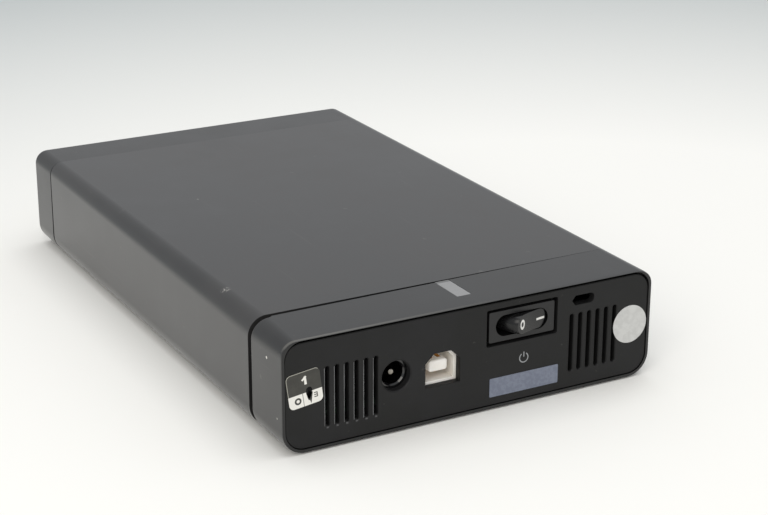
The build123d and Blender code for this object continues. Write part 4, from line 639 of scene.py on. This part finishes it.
def frostedAcrylic(name, look, node):
    material, tree, shader, coords = newMaterial(name, {"IOR": 1.49})
    low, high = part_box(node)
    middle, half = (low + high) / (2 * mm), (high - low) / (2 * mm)
    place = addNode(tree, "SeparateXYZ", {0: coords})
    insetX, insetY = look["inset"]
    core = boxMask(tree, place.outputs[0], place.outputs[1], middle.x + insetX / 2, middle.y - insetY / 2,
                   half.x - insetX, half.y - insetY, look["soft"])
    frost = addNode(tree, "TexNoise", {"Vector": coords, "Scale": patternScale(look["frost"]),
                                       "Detail": 3.0}).outputs[0]
    level = addNode(tree, "MapRange", {"Value": frost, "To Min": 0.75, "To Max": 1.1}).outputs[0]
    core = addNode(tree, "Math", {0: core, 1: level}, operation="MULTIPLY").outputs[0]
    colour = addNode(tree, "Mix", {0: core, 6: look["colour"], 7: look["core"]}, data_type="RGBA").outputs[2]
    finishSurface(tree, shader, colour, frost, (0.0, 1.0), look["rough"], frost, look["depth"])
    return material


# The lamp below it is cast clear epoxy over a pale die cup.
lampEpoxy = {**portPbt, "colour": "#c3c6c9", "handled": "#b2b6ba", "rough": (0.08, 0.14), "sheen": 0.6,
             "smudge": 1.5}
print("labels, window and lamp made")

# ---- which finish each piece wears
zinc = platedMetal("zincPlatedSteel", zincSteel)
blackened = platedMetal("blackOxideSteel", blackSteel)
brass = platedMetal("stampedBrass", contactBrass)
chipSkin = mouldedPlastic("transferMouldedEpoxy", chipEpoxy)
lcp = mouldedPlastic("mouldedLcp", plugLcp)
finishes = {
    "sleeve": sleeveAbs, "rear_cap": capAbs, "front_cap": capAbs, "port_panel": panelAbs,
    "rubber_feet": mouldedPlastic("mouldedRubberFeet", footRubber),
    "panel_screws": blackened, "lock_plate": blackened,
    "light_pipe": frostedAcrylic("frostedAcrylicWindow", windowAcrylic, "light_pipe"),
    "seal_sticker": sealSkin, "number_sticker": tagSkin, "blank_label": labelSkin,
    "switch_housing": mouldedPlastic("mouldedNylonBezel", switchNylon), "switch_rocker": rockerSkin,
    "switch_plunger": mouldedPlastic("naturalNylonPlunger", plungerNylon),
    "switch_spring": platedMetal("drawnSpringSteel", springSteel),
    "switch_contact": brass, "switch_terminals": brass,
    "switch_leads": mouldedPlastic("extrudedPvcLead", leadPvc),
    "dc_jack_housing": mouldedPlastic("polishedNylonJack", jackNylon),
    "dc_jack_pin": platedMetal("nickelPlatedPin", pinNickel),
    "dc_jack_spring": platedMetal("nickelPlatedSpring", nickelBrass),
    "usb_housing": mouldedPlastic("whitePbtPort", portPbt),
    "usb_contacts": platedMetal("goldFlashedContacts", goldFlash),
    "usb_shell": platedMetal("tinnedSteelShell", tinnedSteel),
    "bridge_board": maskedBoard("solderMaskBridge", bridgeBoard), "board_standoffs": zinc,
    "board_screws": zinc, "bridge_chips": chipSkin, "crystal": platedMetal("tinnedCrystalCan", tinnedSteel),
    "capacitors": splitFinish("sleevedAluminiumCan", canFinish, "capacitors"),
    "inductors": splitFinish("woundFerrite", coilFinish, "inductors"),
    "status_lamp": mouldedPlastic("castEpoxyLamp", lampEpoxy), "drive_socket": lcp, "drive_tray": zinc,
    "drive_screws": zinc, "drive_base": platedMetal("dieCastAluminium", castAluminium),
    "drive_gasket": mouldedPlastic("formedGasket", gasketFoam),
    "drive_cover": platedMetal("rolledCoverSteel", coverSteel), "cover_screws": zinc,
    "spindle_hub": turnedMetal("turnedAluminiumHub", turnedAluminium, spindle),
    "spindle_stator": splitFinish("woundStator", statorFinish, "spindle_stator"),
    "platters": turnedMetal("sputteredDisc", discMirror, spindle),
    "disc_spacer": turnedMetal("turnedSpacer", turnedAluminium, spindle),
    "disc_clamp": turnedMetal("turnedClamp", turnedAluminium, spindle),
    "head_arms": platedMetal("machinedAluminiumArms", armAluminium),
    "magnet_yokes": platedMetal("nickelPlatedYokes", nickelBrass),
    "head_ramp": mouldedPlastic("acetalRamp", rampAcetal),
    "drive_board": maskedBoard("solderMaskDrive", driveBoard), "drive_plug": lcp, "drive_chips": chipSkin,
}
for name, node in nodes.items():
    node.data.materials.clear()
    node.data.materials.append(finishes[name])
print("finishes laid on", len(finishes), "pieces")


# ---- case and panel
# The case's upper corners change their radius along its length: tight on its right and at both ends, wider on
# its left near the rear seam. The panel fills the rear cap to a thin rim. Sizes are in millimetres; an inset
# is measured in from the case's outline, and what lies deeper than "skin" stays as it is. A seam stands open
# by "open" where it starts and has closed by "closing" where it stops.
caseShape = {"half": 58.0, "top": 32.3, "foot": 0.5, "radius": 6.6, "skin": 3.0, "rims": [],
             "along": (-95.0, -75.2, 79.5, 95.0), "left": (4.4, 5.4, 4.2, 4.2), "right": (4.4, 4.4, 4.4, 4.4)}
# a rim: its inset in the CAD, then at the top, the sides and the foot, and the radius of its corners
rearCapShape = {**caseShape, "end": -95.0, "seam": -75.2, "closeX": (-12.0, 14.0), "open": -0.95,
                "closing": 0.38, "slope": 1.0, "lead": 0.9,
                "rims": [(0.5, 0.1, 0.05, 0.06, 4.5), (1.1, 0.14, 0.86, 0.85, 5.9)]}
frontCapShape = {**caseShape, "end": 95.0, "seam": 79.5, "closeZ": (26.0, 31.8), "open": -0.5,
                 "closing": 0.43}
# the panel's gap is widest along its top
panelShape = {**caseShape, "end": -95.0, "face": -94.75, "opening": 0.14,
              "rims": [(1.35, 0.85, 0.94, 0.95, 5.9), (1.55, 1.05, 1.14, 1.15, 5.9)]}
near = 0.03  # how far off its drawn place a point may lie
sharpEdge = 1.2  # radians; a corner in the CAD, not one of its arcs
smoothEdge = math.radians(28.0)


def outlinePlace(x, z, look):
    # a point of the section from the case's outline: its outward direction, its inset, if it is in a corner
    tall = (look["top"] - look["foot"]) / 2
    across = abs(x) - look["half"] + look["radius"]
    up = abs(z - look["foot"] - tall) - tall + look["radius"]
    if across > -0.01 and up > -0.01:
        reach = math.hypot(across, up)
        return (across / reach, up / reach), look["radius"] - reach, True
    if across > up:
        return (1.0, 0.0), look["radius"] - across, False
    return (0.0, 1.0), look["radius"] - up, False


def cornerRadius(x, y, look):
    # the outline's radius at an upper corner, so far along the case
    radii = look["left"] if x < 0 else look["right"]
    for start, stop, first, last in zip(look["along"], look["along"][1:], radii, radii[1:]):
        if y <= stop or stop == look["along"][-1]:
            return first + (last - first) * min(max((y - start) / (stop - start), 0.0), 1.0)


def shapedPlace(point, look):
    # the point of a part of the case, moved to the real outline
    x, y, z = point
    (out, rise), inset, inCorner = outlinePlace(x, z, look)
    if inset > look["skin"]:
        return x, y, z
    upper = z > (look["top"] + look["foot"]) / 2
    radius = cornerRadius(x, y, look) if upper else look["radius"]
    moved = inset
    fromEnd = abs(y - look["end"]) if "end" in look else math.inf
    for old, atTop, atSide, atFoot, corner in look["rims"]:
        if abs(inset - old) < near and fromEnd < 1.0:
            moved = atSide + ((atTop if upper else atFoot) - atSide) * rise
            radius = corner if upper else radius
    side, lift = math.copysign(1, x), 1 if upper else -1
    if inCorner:
        edge = look["top"] if upper else look["foot"]
        x = side * (look["half"] - radius + (radius - moved) * out)
        z = edge - lift * (radius - (radius - moved) * rise)
    else:
        x += side * out * (inset - moved)
        z += lift * rise * (inset - moved)
    if "slope" in look and upper and 0.02 < fromEnd < 1.0 and abs(inset) < near:
        y += look["slope"] * rise ** 4
    if "seam" in look and abs(y - look["seam"]) < 0.02:
        axis, (start, stop) = (x, look["closeX"]) if "closeX" in look else (z, look["closeZ"])
        closed = min(max((axis - start) / (stop - start), 0.0), 1.0)
        y += math.copysign(1, -look["end"]) * (look["open"] + (look["closing"] - look["open"]) * closed)
    return x, y, z


def mergedCopy(node):
    # the node's loose triangles, welded
    mesh = bmesh.new()
    mesh.from_mesh(nodes[node].data)
    bmesh.ops.remove_doubles(mesh, verts=mesh.verts, dist=1e-6)
    return mesh


def standIn(name, mesh, node):
    # the changed copy becomes a piece of the case and takes its node's place
    data = bpy.data.meshes.new(name)
    mesh.to_mesh(data)
    mesh.free()
    data.materials.append(finishes[node])
    piece = bpy.data.objects.new(name, data)
    bpy.context.scene.collection.objects.link(piece)
    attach(piece, "case")
    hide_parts(node)
    return piece


def roundEdges(mesh, fits, width, segments):
    # round the sharp edges whose ends both fit
    edges = [edge for edge in mesh.edges if edge.calc_face_angle(0.0) > sharpEdge
             and all(fits(vertex) for vertex in edge.verts)]
    bmesh.ops.bevel(mesh, geom=edges, offset=width * mm, segments=segments, profile=0.5, affect="EDGES")


def shapedCopy(name, node, look):
    # a copy of the node with its outline corrected, its flat faces joined and its seam's edge rounded
    mesh = mergedCopy(node)
    seamEdge = {vertex for vertex in mesh.verts
                if "lead" in look and abs(vertex.co.y / mm - look["seam"]) < 0.02
                and vertex.co.x / mm < look["closeX"][0]
                and abs(outlinePlace(vertex.co.x / mm, vertex.co.z / mm, look)[1]) < near}
    for vertex in mesh.verts:
        vertex.co = Vector(shapedPlace(vertex.co / mm, look)) * mm
    if seamEdge:
        roundEdges(mesh, lambda vertex: vertex in seamEdge, look["lead"], 3)
    bmesh.ops.dissolve_limit(mesh, angle_limit=math.radians(0.3), verts=mesh.verts, edges=mesh.edges)
    if "opening" in look:
        roundEdges(mesh, lambda vertex: abs(vertex.co.y / mm - look["face"]) < 0.02, look["opening"], 2)
    mesh.normal_update()
    for face in mesh.faces:
        face.smooth = True
    for edge in mesh.edges:
        edge.smooth = edge.calc_face_angle(0.0) < smoothEdge
    weighted = standIn(name, mesh, node).modifiers.new("weighted", "WEIGHTED_NORMAL")
    weighted.keep_sharp = True


def tornTag(look):
    # the number tag, a little higher on the panel, its punched hole torn open to a spike at its foot
    mesh = mergedCopy("number_sticker")
    holeX, holeZ, radius = look["hole"]
    for vertex in mesh.verts:
        x, y, z = vertex.co / mm
        if math.hypot(x - holeX, z - holeZ) < radius + near:
            share = look["tearNarrow"] + (1 - look["tearNarrow"]) * (1 + (z - holeZ) / radius) / 2
            x = holeX + look["tearShift"] + (x - holeX) * share
            z = holeZ + (z - holeZ) * look["tearTall"]
        vertex.co = Vector((x, y, z + look["raise"])) * mm
    standIn("numberTag", mesh, "number_sticker")


tornTag(tagPrint)
shapedCopy("caseSleeve", "sleeve", caseShape)
shapedCopy("rearCap", "rear_cap", rearCapShape)
shapedCopy("frontCap", "front_cap", frontCapShape)
shapedCopy("portPanel", "port_panel", panelShape)
print("case and panel shaped")


# ---- small parts on the boards
# Leads stand in rows along the chips' sides and passives are scattered between them. Boxes are (low x, low y,
# high x, high y) and a height is the board's top face, in millimetres.
leadRows = {"pitch": 0.8, "clear": 0.7, "foot": 0.9, "rise": 0.55, "wide": 0.32, "thick": 0.14,
            "quads": [(-20.0, -74.5, -8.0, -62.5, 9.9), (-27.0, -37.0, -13.0, -23.0, 5.6),
                      (2.5, -30.5, 13.5, -19.5, 5.6)],
            "duals": [(24.5, -74.5, 30.5, -69.5, 9.9), (-33.0, -69.1, -28.0, -62.9, 9.9),
                      (-36.0, -10.0, -28.0, -2.0, 5.6), (17.0, -43.0, 23.0, -37.0, 5.6)]}
passives = {"size": (1.6, 0.8, 0.5), "end": 0.32, "spacing": 2.6, "density": 120000.0, "seed": 7,
            "beds": [(-6.0, -74.0, 0.5, -63.5, 9.9), (10.0, -74.0, 21.0, -64.0, 9.9),
                     (-44.0, -77.0, -35.5, -71.0, 9.9), (-26.0, -74.0, -22.5, -63.5, 9.9),
                     (-10.0, -48.0, -1.0, -12.0, 5.6), (16.0, -34.0, 30.0, -14.0, 5.6),
                     (-45.0, -44.0, -31.0, -16.0, 5.6), (-24.0, -12.0, 0.0, 8.0, 5.6)]}


def plainMesh(name, points, edges, faces):
    mesh = bpy.data.meshes.new(name)
    mesh.from_pydata([[value * mm for value in point] for point in points], edges, faces)
    return mesh


def boxPoints(low, high):
    x0, y0, z0 = low
    x1, y1, z1 = high
    return [(x0, y0, z0), (x1, y0, z0), (x1, y1, z0), (x0, y1, z0),
            (x0, y0, z1), (x1, y0, z1), (x1, y1, z1), (x0, y1, z1)]


boxFaces = [(3, 2, 1, 0), (4, 5, 6, 7), (0, 1, 5, 4), (1, 2, 6, 5), (2, 3, 7, 6), (3, 0, 4, 7)]


def boxesMesh(name, boxes):
    points, faces = [], []
    for low, high in boxes:
        faces += [tuple(len(points) + corner for corner in face) for face in boxFaces]
        points += boxPoints(low, high)
    return plainMesh(name, points, [], faces)


def leadMesh(look):
    # one gull wing lead that leaves the chip towards -y: shoulder, riser and foot
    half, thick, rise, foot = look["wide"] / 2, look["thick"], look["rise"], look["foot"]
    path = [(0.25, rise), (-0.3, rise), (-0.5, 0.0), (-0.5 - foot / 2, 0.0)]
    section = [(-half, 0.0), (half, 0.0), (half, thick), (-half, thick)]
    points = [(x, y, z + lift) for y, z in path for x, lift in section]
    faces = [(0, 1, 2, 3), (15, 14, 13, 12)]
    for step in range(3):
        first = 4 * step
        faces += [(first + (side + 1) % 4, first + side, first + side + 4, first + (side + 1) % 4 + 4)
                  for side in range(4)]
    return plainMesh("lead", points, [], faces)


def rowsMesh(look):
    # one edge for each row, so turned that the leads point away from their chip
    points, edges = [], []
    for kind in ("quads", "duals"):
        for x0, y0, x1, y1, z in look[kind]:
            clear = look["clear"]
            sides = [((x0 + clear, y0, z), (x1 - clear, y0, z)), ((x1 - clear, y1, z), (x0 + clear, y1, z))]
            if kind == "quads":
                sides += [((x1, y0 + clear, z), (x1, y1 - clear, z)),
                          ((x0, y1 - clear, z), (x0, y0 + clear, z))]
            for start, stop in sides:
                edges.append((len(points), len(points) + 1))
                points += [start, stop]
    return plainMesh("rows", points, edges, [])


def newTree(name, sockets):
    tree = bpy.data.node_groups.new(name, "GeometryNodeTree")
    tree.interface.new_socket("Geometry", in_out="INPUT", socket_type="NodeSocketGeometry")
    for socket, kind in sockets:
        tree.interface.new_socket(socket, in_out="INPUT", socket_type=kind)
    tree.interface.new_socket("Geometry", in_out="OUTPUT", socket_type="NodeSocketGeometry")
    return tree, addNode(tree, "NodeGroupInput").outputs


def endTree(tree, instances, skin):
    real = addNode(tree, "GeometryNodeRealizeInstances", {0: instances}).outputs[0]
    shown = addNode(tree, "GeometryNodeSetMaterial", {"Geometry": real, "Material": skin}).outputs[0]
    addNode(tree, "NodeGroupOutput", {0: shown})


def makeRowTree():
    tree, given = newTree("leadRowTree", [("Lead", "NodeSocketObject"), ("Pitch", "NodeSocketFloat"),
                                          ("Skin", "NodeSocketMaterial")])
    lead = addNode(tree, "GeometryNodeObjectInfo", {"Object": given["Lead"]}).outputs["Geometry"]
    rows = addNode(tree, "GeometryNodeMeshToCurve", {"Mesh": given["Geometry"]}).outputs[0]
    rows = addNode(tree, "GeometryNodeResampleCurve", {"Curve": rows, "Length": given["Pitch"]},
                   mode="LENGTH").outputs[0]
    along = addNode(tree, "GeometryNodeInputTangent").outputs[0]
    turn = addNode(tree, "FunctionNodeAlignRotationToVector", {"Vector": along}, axis="X",
                   pivot_axis="Z").outputs[0]
    leads = addNode(tree, "GeometryNodeInstanceOnPoints", {"Points": rows, "Instance": lead,
                                                           "Rotation": turn}).outputs[0]
    endTree(tree, leads, given["Skin"])
    return tree


def makeScatterTree():
    tree, given = newTree("passiveTree", [("Part", "NodeSocketObject"), ("Spacing", "NodeSocketFloat"),
                                          ("Density", "NodeSocketFloat"), ("Seed", "NodeSocketInt"),
                                          ("Skin", "NodeSocketMaterial")])
    part = addNode(tree, "GeometryNodeObjectInfo", {"Object": given["Part"]}).outputs["Geometry"]
    spots = addNode(tree, "GeometryNodeDistributePointsOnFaces",
                    {"Mesh": given["Geometry"], "Distance Min": given["Spacing"],
                     "Density Max": given["Density"], "Seed": given["Seed"]},
                    distribute_method="POISSON").outputs["Points"]
    # each lies along the board or across it
    quarter = addNode(tree, "FunctionNodeRandomValue", {"Min": 0.0, "Max": 1.0,
                                                        "Seed": given["Seed"]}).outputs[1]
    quarter = addNode(tree, "Math", {0: quarter}, operation="ROUND").outputs[0]
    quarter = addNode(tree, "Math", {0: quarter, 1: math.pi / 2}, operation="MULTIPLY").outputs[0]
    turn = addNode(tree, "CombineXYZ", {2: quarter}).outputs[0]
    parts = addNode(tree, "GeometryNodeInstanceOnPoints", {"Points": spots, "Instance": part,
                                                           "Rotation": turn}).outputs[0]
    endTree(tree, parts, given["Skin"])
    return tree


def grownPiece(name, base, tree, values):
    # the tree is run over the base mesh and its result kept as a plain mesh
    piece = bpy.data.objects.new(name, base)
    bpy.context.scene.collection.objects.link(piece)
    grower = piece.modifiers.new("grower", "NODES")
    grower.node_group = tree
    for item in tree.interface.items_tree:
        if item.in_out == "INPUT" and item.name in values:
            grower[item.identifier] = values[item.name]
    bpy.context.view_layer.update()
    shaped = piece.evaluated_get(bpy.context.evaluated_depsgraph_get())
    grown = bpy.data.meshes.new_from_object(shaped)
    piece.modifiers.remove(grower)
    piece.data = grown
    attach(piece, "case")
    return piece


def makeSmallParts(rows, scatter):
    patterns = []

    def pattern(name, mesh):
        item = bpy.data.objects.new(name, mesh)
        patterns.append(item)
        return item

    leads = grownPiece("chipLeads", rowsMesh(rows), makeRowTree(),
                       {"Lead": pattern("leadPattern", leadMesh(rows)), "Pitch": rows["pitch"] * mm,
                        "Skin": finishes["crystal"]})
    long, wide, tall = (value / 2 for value in scatter["size"])
    end = scatter["end"]
    body = boxesMesh("passiveBody", [((end - long, -wide + 0.02, 0.0),
                                      (long - end, wide - 0.02, 2 * tall - 0.03))])
    caps = boxesMesh("passiveCaps", [((-long, -wide, 0.0), (end - long, wide, 2 * tall)),
                                     ((long - end, -wide, 0.0), (long, wide, 2 * tall))])
    tree = makeScatterTree()
    counts = [len(leads.data.polygons)]
    for name, mesh, skin, slot in (("passiveBodies", body, finishes["bridge_chips"], "chip_epoxy"),
                                   ("passiveEnds", caps, finishes["crystal"], "tinned_steel")):
        beds = plainMesh(name, [(x, y, z) for x0, y0, x1, y1, z in scatter["beds"]
                                for x, y in ((x0, y0), (x1, y0), (x1, y1), (x0, y1))], [],
                         [tuple(range(4 * step, 4 * step + 4)) for step in range(len(scatter["beds"]))])
        values = {"Part": pattern(name + "Pattern", mesh), "Spacing": scatter["spacing"] * mm,
                  "Density": scatter["density"], "Seed": scatter["seed"], "Skin": skin}
        piece = grownPiece(name, beds, tree, values)
        counts.append(len(piece.data.polygons))
    for item in patterns:
        bpy.data.objects.remove(item)
    return counts


print("small parts grown, faces", makeSmallParts(leadRows, passives))


# ---- softened edges
# Real mouldings have a small radius at every edge, which catches the light; widths are in millimetres.
softEdges = {"switch_housing": 0.15, "switch_rocker": 0.12, "usb_housing": 0.2, "light_pipe": 0.12}
edgeAngle = 40.0


def softenEdges(node, width, angle):
    # the loose triangles are welded and joined to flat faces first, so that only real edges are rounded
    weld = node.modifiers.new("weld", "WELD")
    weld.merge_threshold = 1e-6
    flatten = node.modifiers.new("flatten", "DECIMATE")
    flatten.decimate_type = "DISSOLVE"
    flatten.angle_limit = math.radians(0.5)
    edge = node.modifiers.new("edge", "BEVEL")
    edge.width = width * mm
    edge.segments = 3
    edge.limit_method = "ANGLE"
    edge.angle_limit = math.radians(angle)
    edge.miter_outer = "MITER_ARC"


for name, width in softEdges.items():
    softenEdges(nodes[name], width, edgeAngle)
print("edges softened")
